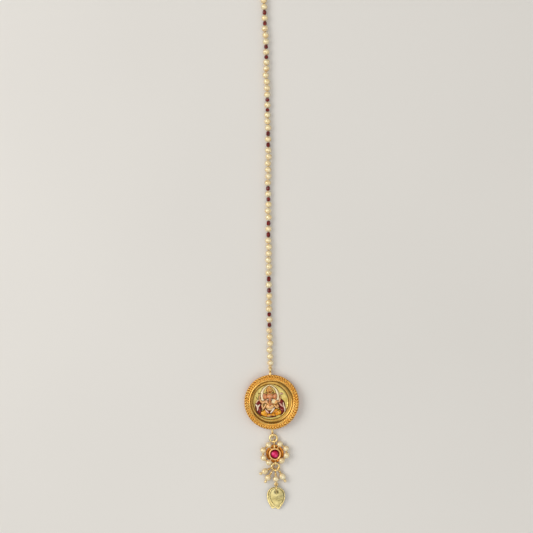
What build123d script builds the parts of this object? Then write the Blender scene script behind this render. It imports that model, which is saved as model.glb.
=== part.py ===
from build123d import *
import math
import os

# A maang tikka: a forehead jewel that hangs from the hair parting on a string of pearls.
# It lies face up on a flat surface. All sizes are in millimetres.
#   origin  centre of the medallion, on its flat back
#   +Z      out of the face, away from the surface that it lies on
#   +Y      up the pearl string, towards the hair hook
#   +X      to the wearer's left, which is the right of the face as seen
# From the hook down: hook, pearl and garnet string, round medallion with an enamelled relief,
# jump ring, ruby and pearl flower, jump ring with four pearl drops, and two leaf drops.

os.makedirs("parts", exist_ok=True)

# ------------------------------------------------------------------ pearl and garnet string
PEARL_D = 2.38            # string pearls
PEARL_PITCH = 2.416       # centre to centre inside a run, so pearls almost touch
THREAD_R = 0.15
FIRST_PEARL_Y = 14.32     # centre of the pearl nearest the medallion
RUNS = (6, 1, 3, 1)       # pearls in each run of one section; a garnet bead follows each run
# centre distance of the two pearls on either side of each garnet, one row for each section
GARNET_STEPS = (
    dict(section=1, after_six=4.34, after_one=4.13, after_three=3.88, after_last=3.98),
    dict(section=2, after_six=4.10, after_one=3.89, after_three=4.21, after_last=4.28),
    dict(section=3, after_six=3.82, after_one=3.69, after_three=4.18, after_last=4.09),
    dict(section=4, after_six=4.13, after_one=3.94, after_three=3.84, after_last=3.76),
)
STEP_KEYS = ("after_six", "after_one", "after_three", "after_last")
LAST_RUN = 6              # the string ends on a run of six, as it begins
GARNET_R = 0.74
GARNET_BORE_R = 0.21
BEAD_GAP = 0.05           # free length at each end of a garnet bead
# how the string lies to the side of the medallion's axis
SWAY = (
    dict(y=14.3, x=-0.55), dict(y=26.4, x=-0.72), dict(y=36.6, x=-0.97), dict(y=60.0, x=-1.12),
    dict(y=83.5, x=-1.30), dict(y=93.0, x=-1.18), dict(y=105.0, x=-1.50), dict(y=114.0, x=-1.52),
    dict(y=120.5, x=-2.05), dict(y=128.0, x=-1.95), dict(y=137.0, x=-2.30), dict(y=146.5, x=-2.72),
    dict(y=160.0, x=-3.15),
)
JITTER = 0.13             # pearls of a run sit a little out of line

# ------------------------------------------------------------------ medallion
RIM_R = 10.15             # outside of the rim band
RIM_INNER_R = 7.90
RIM_TOP_Z = 3.15
BACK_R = 9.20             # flat back that lies on the surface
PLAQUE_R = 6.52
PLAQUE_X = -0.30          # the plaque is set a little off centre
SEAT_Z = 0.95
SEAT_GAP = 0.05           # under the plaque
SEAT_SIDE_GAP = 0.07      # round the plaque
PLAQUE_T = 0.55

# ------------------------------------------------------------------ rings and loops
LOOP_R = 0.76             # soldered upright loops: mean radius and wire radius
LOOP_WIRE = 0.34
NECK_R = 0.30
LINK_Z = 1.20             # height of the links' centres above the surface
TOP_LOOP = (-0.50, 11.75)
BOTTOM_LOOP = (0.30, -12.27)
RING_WIRE = 0.33          # open jump rings that lie flat
RINGS = (
    dict(name="jump_ring_upper", x=0.66, y=-13.50, mean_r=1.32),
    dict(name="jump_ring_lower", x=1.41, y=-23.98, mean_r=1.34),
)

# ------------------------------------------------------------------ ruby and pearl flower
FLOWER = (1.22, -19.24)
BEZEL_R = 2.25
RUBY_R = 1.60
BEZEL_TOP_Z = 2.25
FLOWER_PLATE_R = 3.30
FLOWER_PLATE_T = 0.28
FLOWER_PEARL_LIFT = 0.05  # the pearls ride on their wires just above the plate
FLOWER_TOP_LOOP = (0.94, -14.80)
FLOWER_BOTTOM_LOOP = (1.41, -22.64)
FLOWER_PEARL_D = 2.36
FLOWER_WIRE_R = 0.15
FLOWER_BORE_R = 0.20
# two wire arcs carry the pearls; centres are from the middle of the ruby
FLOWER_ARCS = (
    dict(side="left", cx=-1.15, cy=0.12, r=3.37, angles=(110.5, 158.6, 207.5, 252.0)),
    dict(side="right", cx=1.25, cy=0.50, r=3.20, angles=(79.2, 29.0, -18.5, -66.9)),
)

# ------------------------------------------------------------------ pearl drops on the lower ring
PIN_WIRE = 0.18
PIN_BORE = 0.22
EYE_R = 0.66
BALL_R = 0.50
WRAP_R = 0.36
# ring_angle: where the eye hangs on the lower ring; x, y: centre of the pearl; length, width: the pearl
DROPS = (
    dict(name="left", ring_angle=193, x=-2.44, y=-25.66, length=2.62, width=2.34),
    dict(name="lower_left", ring_angle=232, x=-1.33, y=-28.05, length=2.46, width=2.34),
    dict(name="right", ring_angle=317, x=4.00, y=-27.60, length=2.86, width=2.36),
)
LINK_ANGLE = 271          # the pearl that carries the leaves hangs straight down
LINK_PEARL = dict(down=3.20, length=2.34, width=2.30)
LINK_EYE = (1.68, -30.50)
LINK_EYE_R = 0.54

# ------------------------------------------------------------------ leaf drops
LEAF_RING = dict(x=1.71, y=-31.83, mean_r=1.37, wire=0.25)
LEAF_W = 6.05
LEAF_L = 8.40
LEAF_T = 0.48
LEAF_HOLE_R = 0.60
LEAF_HOLE_DOWN = 1.78     # hole centre below the top edge
LEAF_SIDE_R = 6.18        # long side arcs
LEAF_RIM = 0.42           # raised edge, left by a shallow dish
LEAF_DISH = 0.10
LEAVES = (
    dict(name="leaf_drop_back", x=1.62, y=-33.16, z=1.32, swing=-11.0, tip_down=9.2),
    dict(name="leaf_drop_front", x=1.80, y=-33.16, z=1.86, swing=5.6, tip_down=9.2),
)

# ------------------------------------------------------------------ hair hook
HOOK_WIRE = 0.42
HOOK_EYE_R = 0.95
HOOK_SHANK = 11.0
HOOK_BEND_R = 1.90
HOOK_POINT = 5.0
HOOK_THREAD_EYE = HOOK_WIRE + THREAD_R + 0.08     # mean radius of the thread's eye on the hook
HOOK_EYE_AT = PEARL_D / 2 + HOOK_THREAD_EYE - 0.05

MIN_BASE = (Align.CENTER, Align.CENTER, Align.MIN)


def rod(p, q, r):
    """A round bar from p to q."""
    a, b = Vector(*p), Vector(*q)
    d = b - a
    return Plane(origin=a, z_dir=d) * Cylinder(r, d.length, align=MIN_BASE)


def ball(p, r):
    return Pos(*p) * Sphere(r)


def upright_ring(x, y, z, mean_r, wire_r, heading):
    """A ring that stands up, in the plane of Z and of a heading in degrees."""
    a = math.radians(heading)
    return Plane(origin=(x, y, z), z_dir=(-math.sin(a), math.cos(a), 0)) * Torus(mean_r, wire_r)


def flat_ring(x, y, z, mean_r, wire_r):
    return Pos(x, y, z) * Torus(mean_r, wire_r)


def ring_arc(cx, cy, z, mean_r, wire_r, start, end):
    """Part of a flat ring, from start to end in degrees."""
    lo, hi = min(start, end), max(start, end)
    return Pos(cx, cy, z) * Rot(0, 0, lo) * Torus(mean_r, wire_r, major_angle=hi - lo, align=None)


def turned(points):
    """A solid of revolution about Z from (radius, z) corners, starting and ending on the axis."""
    face = make_face(Plane.XZ * Polyline(*[(r, z) for r, z in points], close=True))
    return revolve(face, Axis.Z, 360)


def one_solid(shape):
    """The single solid of a fused shape."""
    s = shape.solids()
    if len(s) != 1:
        raise ValueError("expected one solid, got %d" % len(s))
    return s[0]


def save(name, shape):
    export_step(one_solid(shape), os.path.join("parts", name + ".step"))


# ------------------------------------------------------------------ where the string's beads lie
def sway(y):
    if y <= SWAY[0]["y"]:
        return SWAY[0]["x"]
    for a, b in zip(SWAY, SWAY[1:]):
        if y <= b["y"]:
            t = (y - a["y"]) / (b["y"] - a["y"])
            return a["x"] + t * (b["x"] - a["x"])
    return SWAY[-1]["x"]


def string_layout():
    """Sections of the string, each a list of runs of pearl centres (x, y)."""
    sections, y, index = [], FIRST_PEARL_Y, 0
    for row in list(reversed(range(len(GARNET_STEPS)))) + [None]:
        runs = []
        if row is None:
            counts, steps = (LAST_RUN,), (0.0,)
        else:
            # rows are numbered from the hook, and the string is laid from the medallion
            counts = RUNS
            steps = [GARNET_STEPS[len(GARNET_STEPS) - 1 - row][k] for k in reversed(STEP_KEYS)]
        for count, step in zip(counts, steps):
            run = []
            for k in range(count):
                side = JITTER * math.sin(2.2 * index + 0.6) if count > 1 else 0.0
                run.append((sway(y) + side, y))
                index += 1
                if k < count - 1:
                    y += PEARL_PITCH
            runs.append(run)
            y += step
        sections.append(runs)
    return sections


def pearl_string(runs, next_pearl, first, last):
    """Pearls of one section, joined along their thread. The thread runs on towards the next section."""
    z = PEARL_D / 2
    centres = [p for run in runs for p in run]
    shape = ball((*centres[0], z), PEARL_D / 2)
    for a, b in zip(centres, centres[1:]):
        shape += rod((*a, z), (*b, z), THREAD_R)
        shape += ball((*b, z), PEARL_D / 2)
    if next_pearl:
        a, b = Vector(*centres[-1], z), Vector(*next_pearl, z)
        end = a + (b - a) * ((b - a).length - PEARL_D / 2 - 0.03) * (1 / (b - a).length)
        shape += rod(tuple(a), tuple(end), THREAD_R)
    eye_r = LOOP_WIRE + THREAD_R + 0.05
    if first:   # thread eye round the medallion's loop
        ex, ey = TOP_LOOP[0], TOP_LOOP[1] + LOOP_R
        shape += flat_ring(ex, ey, z, eye_r, THREAD_R)
        shape += rod((ex, ey + eye_r, z), (*centres[0], z), THREAD_R)
    if last:    # thread eye round the hook's eye
        ex, ey = centres[-1][0], centres[-1][1] + HOOK_EYE_AT
        shape += flat_ring(ex, ey, z, HOOK_THREAD_EYE, THREAD_R)
        shape += rod((*centres[-1], z), (ex, ey - HOOK_THREAD_EYE, z), THREAD_R)
    return shape


def garnet(a, b):
    """A drum-shaped bead on the thread between pearls a and b, with its ends turned in."""
    z = PEARL_D / 2
    p, q = Vector(*a, z), Vector(*b, z)
    d = q - p
    length = d.length - PEARL_D - 2 * BEAD_GAP
    h = length / 2
    bead = turned([(0, -h), (GARNET_R * 0.62, -h), (GARNET_R, -h * 0.42), (GARNET_R, h * 0.42),
                   (GARNET_R * 0.62, h), (0, h)])
    bead -= Cylinder(GARNET_BORE_R, length + 1)
    return Plane(origin=(p + q) * 0.5, z_dir=d) * bead


sections = string_layout()
garnet_count = 0
for i, runs in enumerate(sections):
    nxt = sections[i + 1][0][0] if i + 1 < len(sections) else None
    save("pearl_string_%d" % (i + 1), pearl_string(runs, nxt, i == 0, i == len(sections) - 1))
    ends = [(r[-1], n[0]) for r, n in zip(runs, runs[1:])] + ([(runs[-1][-1], nxt)] if nxt else [])
    for a, b in ends:
        garnet_count += 1
        save("garnet_%02d" % garnet_count, garnet(a, b))

# ------------------------------------------------------------------ hair hook, one plain bent wire
last = sections[-1][-1][-1]
hx = last[0]
hy = last[1] + HOOK_EYE_AT + HOOK_EYE_R - 0.02
hz = HOOK_EYE_R + HOOK_WIRE
low = HOOK_WIRE
reach = HOOK_EYE_R * math.sqrt(0.5)
bend_y = hy + HOOK_SHANK
hook = upright_ring(hx, hy, hz, HOOK_EYE_R, HOOK_WIRE, 90)
stations = ((hx, hy + reach, hz - reach), (hx, hy + 2.4, low), (hx, bend_y, low))
for a, b in zip(stations, stations[1:]):
    hook += rod(a, b, HOOK_WIRE)
    hook += ball(a, HOOK_WIRE) + ball(b, HOOK_WIRE)
hook += ring_arc(hx + HOOK_BEND_R, bend_y, low, HOOK_BEND_R, HOOK_WIRE, 0, 180)
point = ((hx + 2 * HOOK_BEND_R, bend_y, low), (hx + 2 * HOOK_BEND_R, bend_y - HOOK_POINT, low),
         (hx + 2 * HOOK_BEND_R + 0.5, bend_y - HOOK_POINT - 1.3, low))
for a, b in zip(point, point[1:]):
    hook += rod(a, b, HOOK_WIRE)
    hook += ball(b, HOOK_WIRE)
save("hair_hook", hook)

# ------------------------------------------------------------------ medallion
# back, cup, rounded rim band and polished inner channel, turned in one piece
bezel = turned([
    (0, 0), (BACK_R, 0), (9.75, 0.42), (RIM_R - 0.12, 1.05), (RIM_R, 1.65), (RIM_R - 0.10, 2.25),
    (9.72, 2.78), (9.30, 3.06), (8.80, RIM_TOP_Z), (8.38, 3.04), (8.06, 2.78), (RIM_INNER_R, 2.42),
    (7.62, 1.86), (7.25, 1.50), (6.90, 1.36), (0, 1.36),
])
bezel -= Pos(PLAQUE_X, 0, SEAT_Z) * Cylinder(PLAQUE_R + SEAT_SIDE_GAP, 3, align=MIN_BASE)
for (x, y), side in ((TOP_LOOP, -1), (BOTTOM_LOOP, 1)):
    bezel += upright_ring(x, y, LINK_Z, LOOP_R, LOOP_WIRE, 90)
    wall_y = -side * (RIM_R - 0.5)
    bezel += rod((x, wall_y, LINK_Z), (x, y + side * LOOP_R, LINK_Z), NECK_R)
save("medallion_bezel", bezel)

# enamelled plaque: a disc with a seated deity between two bolsters, in rounded relief
BASE_Z = SEAT_Z + SEAT_GAP
FACE_Z = BASE_Z + PLAQUE_T
# each row is a limb: a rounded bar from one end to the other, lying half out of the disc
LIMBS = (
    dict(of="left bolster", x1=-5.00, y1=-0.45, x2=-4.30, y2=-3.70, r=0.85),
    dict(of="right bolster", x1=3.85, y1=0.10, x2=3.75, y2=-3.10, r=0.85),
    dict(of="left thigh", x1=-0.90, y1=-4.20, x2=-2.85, y2=-4.30, r=0.88),
    dict(of="right thigh", x1=0.30, y1=-4.10, x2=2.60, y2=-4.00, r=0.88),
    dict(of="feet", x1=-1.20, y1=-4.75, x2=0.60, y2=-4.75, r=0.55),
    dict(of="belly", x1=-0.55, y1=-1.75, x2=-0.55, y2=-2.55, r=1.45),
    dict(of="chest", x1=-1.50, y1=-0.35, x2=0.50, y2=-0.35, r=0.95),
    dict(of="lower right arm", x1=-2.70, y1=0.20, x2=-3.20, y2=-2.20, r=0.48),
    dict(of="right forearm", x1=-3.20, y1=-2.20, x2=-1.80, y2=-0.90, r=0.42),
    dict(of="lower left arm", x1=1.60, y1=0.15, x2=2.35, y2=-1.70, r=0.48),
    dict(of="left forearm", x1=2.35, y1=-1.70, x2=1.35, y2=-0.70, r=0.42),
    dict(of="upper right arm", x1=-2.60, y1=0.35, x2=-4.40, y2=1.35, r=0.38),
    dict(of="upper left arm", x1=1.60, y1=0.35, x2=3.40, y2=1.25, r=0.38),
    dict(of="head", x1=-0.75, y1=2.20, x2=-0.75, y2=2.75, r=1.25),
    dict(of="right ear", x1=-2.35, y1=2.70, x2=-2.25, y2=1.80, r=0.50),
    dict(of="left ear", x1=0.90, y1=2.70, x2=0.85, y2=1.80, r=0.50),
    dict(of="crown", x1=-0.80, y1=3.60, x2=-0.90, y2=4.60, r=0.95),
    dict(of="crown tip", x1=-0.90, y1=4.60, x2=-1.00, y2=5.50, r=0.50),
    dict(of="trunk", x1=-0.70, y1=1.50, x2=-0.70, y2=-0.60, r=0.48),
    dict(of="trunk end", x1=-0.70, y1=-0.60, x2=0.50, y2=-0.95, r=0.38),
)
HALO = dict(x=-0.72, y=3.20, r=2.65, wire=0.30)
plaque = Pos(PLAQUE_X, 0, BASE_Z) * Cylinder(PLAQUE_R, PLAQUE_T, align=MIN_BASE)
plaque += flat_ring(HALO["x"], HALO["y"], FACE_Z + 0.05, HALO["r"], HALO["wire"])
for limb in LIMBS:
    z = FACE_Z - 0.25
    a, b = (limb["x1"], limb["y1"], z), (limb["x2"], limb["y2"], z)
    plaque += rod(a, b, limb["r"]) + ball(a, limb["r"]) + ball(b, limb["r"])
# nothing of the figure passes below the disc or beyond the seat
plaque &= Pos(PLAQUE_X, 0, BASE_Z) * Cylinder(PLAQUE_R, 4, align=MIN_BASE)
save("deity_plaque", plaque)

# ------------------------------------------------------------------ jump rings
for ring in RINGS:
    save(ring["name"], flat_ring(ring["x"], ring["y"], LINK_Z, ring["mean_r"], RING_WIRE))

# ------------------------------------------------------------------ ruby and pearl flower
fx, fy = FLOWER
setting = Pos(fx, fy, 0) * turned([
    (0, 0), (FLOWER_PLATE_R, 0), (FLOWER_PLATE_R, FLOWER_PLATE_T), (2.52, FLOWER_PLATE_T), (2.36, 0.60), (BEZEL_R, 0.66),
    (BEZEL_R, BEZEL_TOP_Z - 0.35), (BEZEL_R - 0.08, BEZEL_TOP_Z - 0.12), (2.02, BEZEL_TOP_Z),
    (1.80, BEZEL_TOP_Z - 0.03), (RUBY_R + 0.06, BEZEL_TOP_Z - 0.25), (RUBY_R + 0.06, 1.0), (0, 1.0),
])
for (x, y), side in ((FLOWER_TOP_LOOP, 1), (FLOWER_BOTTOM_LOOP, -1)):
    setting += upright_ring(x, y, LINK_Z, LOOP_R, LOOP_WIRE, 90)
    setting += rod((x, fy + side * (BEZEL_R - 0.3), LINK_Z), (x, y - side * LOOP_R, LINK_Z), NECK_R)
pz = FLOWER_PLATE_T + FLOWER_PEARL_LIFT + FLOWER_PEARL_D / 2
pearl_number = 0
for arc in FLOWER_ARCS:
    cx, cy = fx + arc["cx"], fy + arc["cy"]
    start, end = arc["angles"][0], arc["angles"][-1]
    setting += ring_arc(cx, cy, pz, arc["r"], FLOWER_WIRE_R, start, end)
    bore = ring_arc(cx, cy, pz, arc["r"], FLOWER_BORE_R, start, end)
    centres = [(cx + arc["r"] * math.cos(math.radians(t)), cy + arc["r"] * math.sin(math.radians(t)))
               for t in arc["angles"]]
    stays = []
    for x, y in (centres[0], centres[-1]):
        d = math.hypot(x - fx, y - fy)
        foot = (fx + (x - fx) * (BEZEL_R - 0.2) / d, fy + (y - fy) * (BEZEL_R - 0.2) / d, pz)
        setting += rod(foot, (x, y, pz), FLOWER_WIRE_R) + ball((x, y, pz), FLOWER_WIRE_R)
        stays.append((foot, (x, y, pz)))
    for x, y in centres:
        pearl_number += 1
        pearl = ball((x, y, pz), FLOWER_PEARL_D / 2) - bore
        for foot, tip in stays:
            if math.hypot(tip[0] - x, tip[1] - y) < 0.01:
                pearl -= rod(foot, tip, FLOWER_BORE_R) + ball(tip, FLOWER_BORE_R)
        save("flower_pearl_%d" % pearl_number, pearl)
save("flower_setting", setting)

# ruby cabochon, domed, resting in the bezel
dome_r = (RUBY_R ** 2 + 0.85 ** 2) / (2 * 0.85)
ruby = Pos(0, 0, 1.05) * Cylinder(RUBY_R, 2.2, align=MIN_BASE)
ruby &= Pos(0, 0, 2.68 - dome_r) * Sphere(dome_r)
save("ruby", Pos(fx, fy, 0) * ruby)

# ------------------------------------------------------------------ pearl drops
lower = RINGS[1]


def drop_pearl(row, heading):
    """A pearl turned about its bore: a stretched ball with a straight hole."""
    half_l, half_w = row["length"] / 2, row["width"] / 2
    flat = half_l - half_w
    shape = Cylinder(half_w, 2 * flat) if flat > 0.02 else Sphere(half_w)
    if flat > 0.02:
        shape += Pos(0, 0, flat) * Sphere(half_w)
        shape += Pos(0, 0, -flat) * Sphere(half_w)
    shape -= Cylinder(PIN_BORE, row["length"] + 1)
    a = math.radians(heading)
    return Plane(origin=(row["x"], row["y"], LINK_Z), z_dir=(math.cos(a), math.sin(a), 0)) * shape


def on_ring(angle):
    a = math.radians(angle)
    return lower["x"] + lower["mean_r"] * math.cos(a), lower["y"] + lower["mean_r"] * math.sin(a)


def pin_to_pearl(ex, ey, row):
    """Eye on the ring, a short wrapped neck, and the wire that runs into the pearl."""
    heading = math.degrees(math.atan2(row["y"] - ey, row["x"] - ex))
    a = math.radians(heading)
    ux, uy = math.cos(a), math.sin(a)
    reach = math.hypot(row["x"] - ex, row["y"] - ey)
    top = reach - row["length"] / 2
    pin = upright_ring(ex, ey, LINK_Z, EYE_R, PIN_WIRE, heading)
    pin += rod((ex + ux * EYE_R, ey + uy * EYE_R, LINK_Z), (row["x"], row["y"], LINK_Z), PIN_WIRE)
    wrap_from = max(EYE_R + 0.12, top - 0.85)
    pin += rod((ex + ux * wrap_from, ey + uy * wrap_from, LINK_Z),
               (ex + ux * (top - 0.04), ey + uy * (top - 0.04), LINK_Z), WRAP_R)
    return pin, heading


for row in DROPS:
    ex, ey = on_ring(row["ring_angle"])
    pin, heading = pin_to_pearl(ex, ey, row)
    a = math.radians(heading)
    ux, uy = math.cos(a), math.sin(a)
    far = row["length"] / 2 + 0.03 + BALL_R
    end = (row["x"] + ux * far, row["y"] + uy * far, LINK_Z)
    pin += rod((row["x"] - ux * 0.2, row["y"] - uy * 0.2, LINK_Z), end, PIN_WIRE)
    pin += ball(end, BALL_R)
    save("drop_pin_" + row["name"], pin)
    save("drop_pearl_" + row["name"], drop_pearl(row, heading))

ex, ey = on_ring(LINK_ANGLE)
lx, ly = LINK_EYE[0] - ex, LINK_EYE[1] - ey
far = math.hypot(lx, ly)
link_row = dict(LINK_PEARL, x=ex + lx * LINK_PEARL["down"] / far, y=ey + ly * LINK_PEARL["down"] / far)
link, heading = pin_to_pearl(ex, ey, link_row)
link += rod((link_row["x"] - lx / far * 0.2, link_row["y"] - ly / far * 0.2, LINK_Z),
            (LINK_EYE[0] - lx / far * LINK_EYE_R, LINK_EYE[1] - ly / far * LINK_EYE_R, LINK_Z), PIN_WIRE)
link += flat_ring(LINK_EYE[0], LINK_EYE[1], LINK_Z, LINK_EYE_R, PIN_WIRE)
save("link_wire", link)
save("link_pearl", drop_pearl(link_row, heading))

# ------------------------------------------------------------------ leaf drops
def leaf_outline(inset):
    """A petal with a round head and a drawn-in tip, hole centre at the origin, tip towards -Y."""
    head = LEAF_W / 2 - inset
    side = LEAF_SIDE_R - inset
    top, tip = LEAF_HOLE_DOWN - inset, LEAF_HOLE_DOWN - LEAF_L + inset * 1.25
    wide_y = LEAF_HOLE_DOWN - LEAF_W / 2
    fall = math.radians(42.2)
    qx, qy = LEAF_W / 2 - LEAF_SIDE_R + side * math.cos(fall), wide_y - side * math.sin(fall)
    mid = fall / 2
    mx, my = LEAF_W / 2 - LEAF_SIDE_R + side * math.cos(mid), wide_y - side * math.sin(mid)
    hx_, hy_ = head * math.cos(math.pi / 4), wide_y + head * math.sin(math.pi / 4)
    nose_x = min(0.55, qx * 0.6)
    nose_y = tip + 0.16
    right = [ThreePointArc((0, top), (hx_, hy_), (head, wide_y)),
             ThreePointArc((head, wide_y), (mx, my), (qx, qy)),
             Line((qx, qy), (nose_x, nose_y))]
    left = [ThreePointArc((0, top), (-hx_, hy_), (-head, wide_y)),
            ThreePointArc((-head, wide_y), (-mx, my), (-qx, qy)),
            Line((-qx, qy), (-nose_x, nose_y))]
    nose = ThreePointArc((-nose_x, nose_y), (0, tip), (nose_x, nose_y))
    return make_face(right + left + [nose])


for row in LEAVES:
    leaf = Pos(0, 0, -LEAF_T / 2) * extrude(leaf_outline(0.0), LEAF_T)
    leaf -= Pos(0, 0, LEAF_T / 2 - LEAF_DISH) * extrude(leaf_outline(LEAF_RIM), 1.0)
    leaf -= Cylinder(LEAF_HOLE_R, 3)
    save(row["name"], Pos(row["x"], row["y"], row["z"]) * Rot(row["tip_down"], 0, 0) * Rot(0, 0, row["swing"]) * leaf)

# upright ring through both leaves and the link's eye
lr = LEAF_RING
save("leaf_ring", upright_ring(lr["x"], lr["y"], lr["mean_r"] + lr["wire"], lr["mean_r"], lr["wire"], 90))
print("pearls on the string:", sum(len(r) for s in sections for r in s), "garnets:", garnet_count)
print("hook tip y: %.1f" % (bend_y + HOOK_BEND_R + HOOK_WIRE))
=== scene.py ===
import math

import bpy
import numpy as np
from mathutils.bvhtree import BVHTree
from mathutils import Matrix, Vector


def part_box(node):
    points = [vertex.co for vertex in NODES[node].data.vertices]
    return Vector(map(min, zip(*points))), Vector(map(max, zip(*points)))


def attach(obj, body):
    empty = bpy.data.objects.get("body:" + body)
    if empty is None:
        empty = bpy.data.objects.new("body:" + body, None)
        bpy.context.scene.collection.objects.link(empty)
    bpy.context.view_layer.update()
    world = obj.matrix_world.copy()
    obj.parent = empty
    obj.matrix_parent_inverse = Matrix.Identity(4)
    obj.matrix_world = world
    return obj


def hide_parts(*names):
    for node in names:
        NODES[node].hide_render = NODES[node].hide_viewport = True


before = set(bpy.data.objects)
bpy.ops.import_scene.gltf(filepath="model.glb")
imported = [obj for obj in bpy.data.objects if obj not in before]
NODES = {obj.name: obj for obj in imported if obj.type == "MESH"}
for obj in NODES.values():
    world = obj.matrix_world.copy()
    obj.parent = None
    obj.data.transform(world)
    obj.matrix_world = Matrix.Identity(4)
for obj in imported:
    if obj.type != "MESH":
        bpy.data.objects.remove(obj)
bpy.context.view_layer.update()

MM = 0.001
TAU = 2 * math.pi


def cad_points(node):
    """The vertices of a CAD node, in millimetres."""
    mesh = NODES[node].data
    co = np.empty(len(mesh.vertices) * 3)
    mesh.vertices.foreach_get("co", co)
    return co.reshape(-1, 3) / MM


def cad_box_mm(node):
    lo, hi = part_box(node)
    return np.array(lo) / MM, np.array(hi) / MM


def cad_centre(node):
    lo, hi = cad_box_mm(node)
    return (lo + hi) / 2


def sphere_fit(p):
    """Centre and radius of the sphere through points p."""
    a = np.c_[2 * p, np.ones(len(p))]
    s = np.linalg.lstsq(a, (p ** 2).sum(1), rcond=None)[0]
    return s[:3], math.sqrt(s[3] + (s[:3] ** 2).sum())


# ------------------------------------------------------------------ materials
def rgb(r, g, b):
    """sRGB 0 to 255 as linear."""
    def lin(c):
        c /= 255
        return c / 12.92 if c <= 0.04045 else ((c + 0.055) / 1.055) ** 2.4
    return (lin(r), lin(g), lin(b), 1.0)


class Nodes:
    """A small helper to wire a shader."""

    def __init__(self, name):
        self.mat = bpy.data.materials.new(name)
        self.mat.use_nodes = True
        self.tree = self.mat.node_tree
        self.bsdf = self.tree.nodes["Principled BSDF"]
        self.coord = self.tree.nodes.new("ShaderNodeTexCoord")

    def new(self, kind, **values):
        n = self.tree.nodes.new(kind)
        for key, value in values.items():
            if key in n.inputs:
                n.inputs[key].default_value = value
            else:
                setattr(n, key, value)
        return n

    def link(self, a, b):
        self.tree.links.new(a, b)

    def set(self, **values):
        for key, value in values.items():
            self.bsdf.inputs[key.replace("_", " ")].default_value = value

    def noise(self, scale, detail=3.0, rough=0.55, stretch=None):
        n = self.new("ShaderNodeTexNoise", Scale=scale, Detail=detail, Roughness=rough)
        src = self.coord.outputs["Object"]
        if stretch:
            m = self.new("ShaderNodeMapping", Scale=stretch)
            self.link(src, m.inputs["Vector"])
            src = m.outputs["Vector"]
        self.link(src, n.inputs["Vector"])
        return n.outputs["Fac"]

    def ramp(self, fac, stops, interpolation="LINEAR"):
        r = self.new("ShaderNodeValToRGB")
        r.color_ramp.interpolation = interpolation
        while len(r.color_ramp.elements) < len(stops):
            r.color_ramp.elements.new(0.5)
        for e, (pos, colour) in zip(r.color_ramp.elements, stops):
            e.position = pos
            e.color = colour if len(colour) == 4 else (*colour, 1.0)
        self.link(fac, r.inputs["Fac"])
        return r.outputs["Color"]

    def mix(self, fac, a, b, blend="MIX"):
        m = self.new("ShaderNodeMix", data_type="RGBA", blend_type=blend)
        for value, socket in ((fac, m.inputs[0]), (a, m.inputs[6]), (b, m.inputs[7])):
            if isinstance(value, (int, float, tuple)):
                socket.default_value = value
            else:
                self.link(value, socket)
        return m.outputs[2]

    def range(self, fac, lo, hi, a=0.0, b=1.0):
        m = self.new("ShaderNodeMapRange")
        for key, value in (("From Min", a), ("From Max", b), ("To Min", lo), ("To Max", hi)):
            m.inputs[key].default_value = value
        self.link(fac, m.inputs["Value"])
        return m.outputs["Result"]

    def pointiness(self):
        return self.new("ShaderNodeNewGeometry").outputs["Pointiness"]

    def bump(self, *layers):
        """layers of (height socket, distance in mm, strength)."""
        normal = None
        for height, distance, strength in layers:
            b = self.new("ShaderNodeBump", Strength=strength, Distance=distance * MM)
            self.link(height, b.inputs["Height"])
            if normal:
                self.link(normal, b.inputs["Normal"])
            normal = b.outputs["Normal"]
        self.link(normal, self.bsdf.inputs["Normal"])


def gold(name, light, dark, rough=(0.16, 0.30), grain=0.012, crease=0.5, painted_crease_shade=(0.16, 0.06, 0.012, 1), scratch=0.0, groove=None):
    """Plated gold: tone drifts a little, creases take a darker tone as painted shade, and the polish is worn unevenly.
    """
    n = Nodes(name)
    n.set(Metallic=1.0)
    patch = n.noise(420.0, 4.0)
    tone = n.mix(n.range(patch, 0.0, 1.0, 0.35, 0.65), light, dark)
    # painted shade: creases found by pointiness darken towards the crease colour
    painted_shade = n.range(n.pointiness(), 1.0, 0.0, 0.44, 0.50)
    shade = n.mix(n.range(painted_shade, 0.0, crease), tone, painted_crease_shade)
    if groove:      # painted shade down between the strands of a cord
        shade = n.mix(n.range(n.new("ShaderNodeAttribute", attribute_name="painted_shade").outputs["Fac"], 0.0, 0.92), shade, groove)
    n.link(shade, n.bsdf.inputs["Base Color"])
    n.link(n.range(n.noise(900.0, 5.0), rough[0], rough[1], 0.3, 0.7), n.bsdf.inputs["Roughness"])
    layers = [(n.noise(2600.0, 5.0), grain, 0.5)]
    if scratch:
        layers.append((n.noise(900.0, 4.0, 0.6, (1.0, 14.0, 1.0)), scratch, 0.5))
    n.bump(*layers)
    return n.mat


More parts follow.
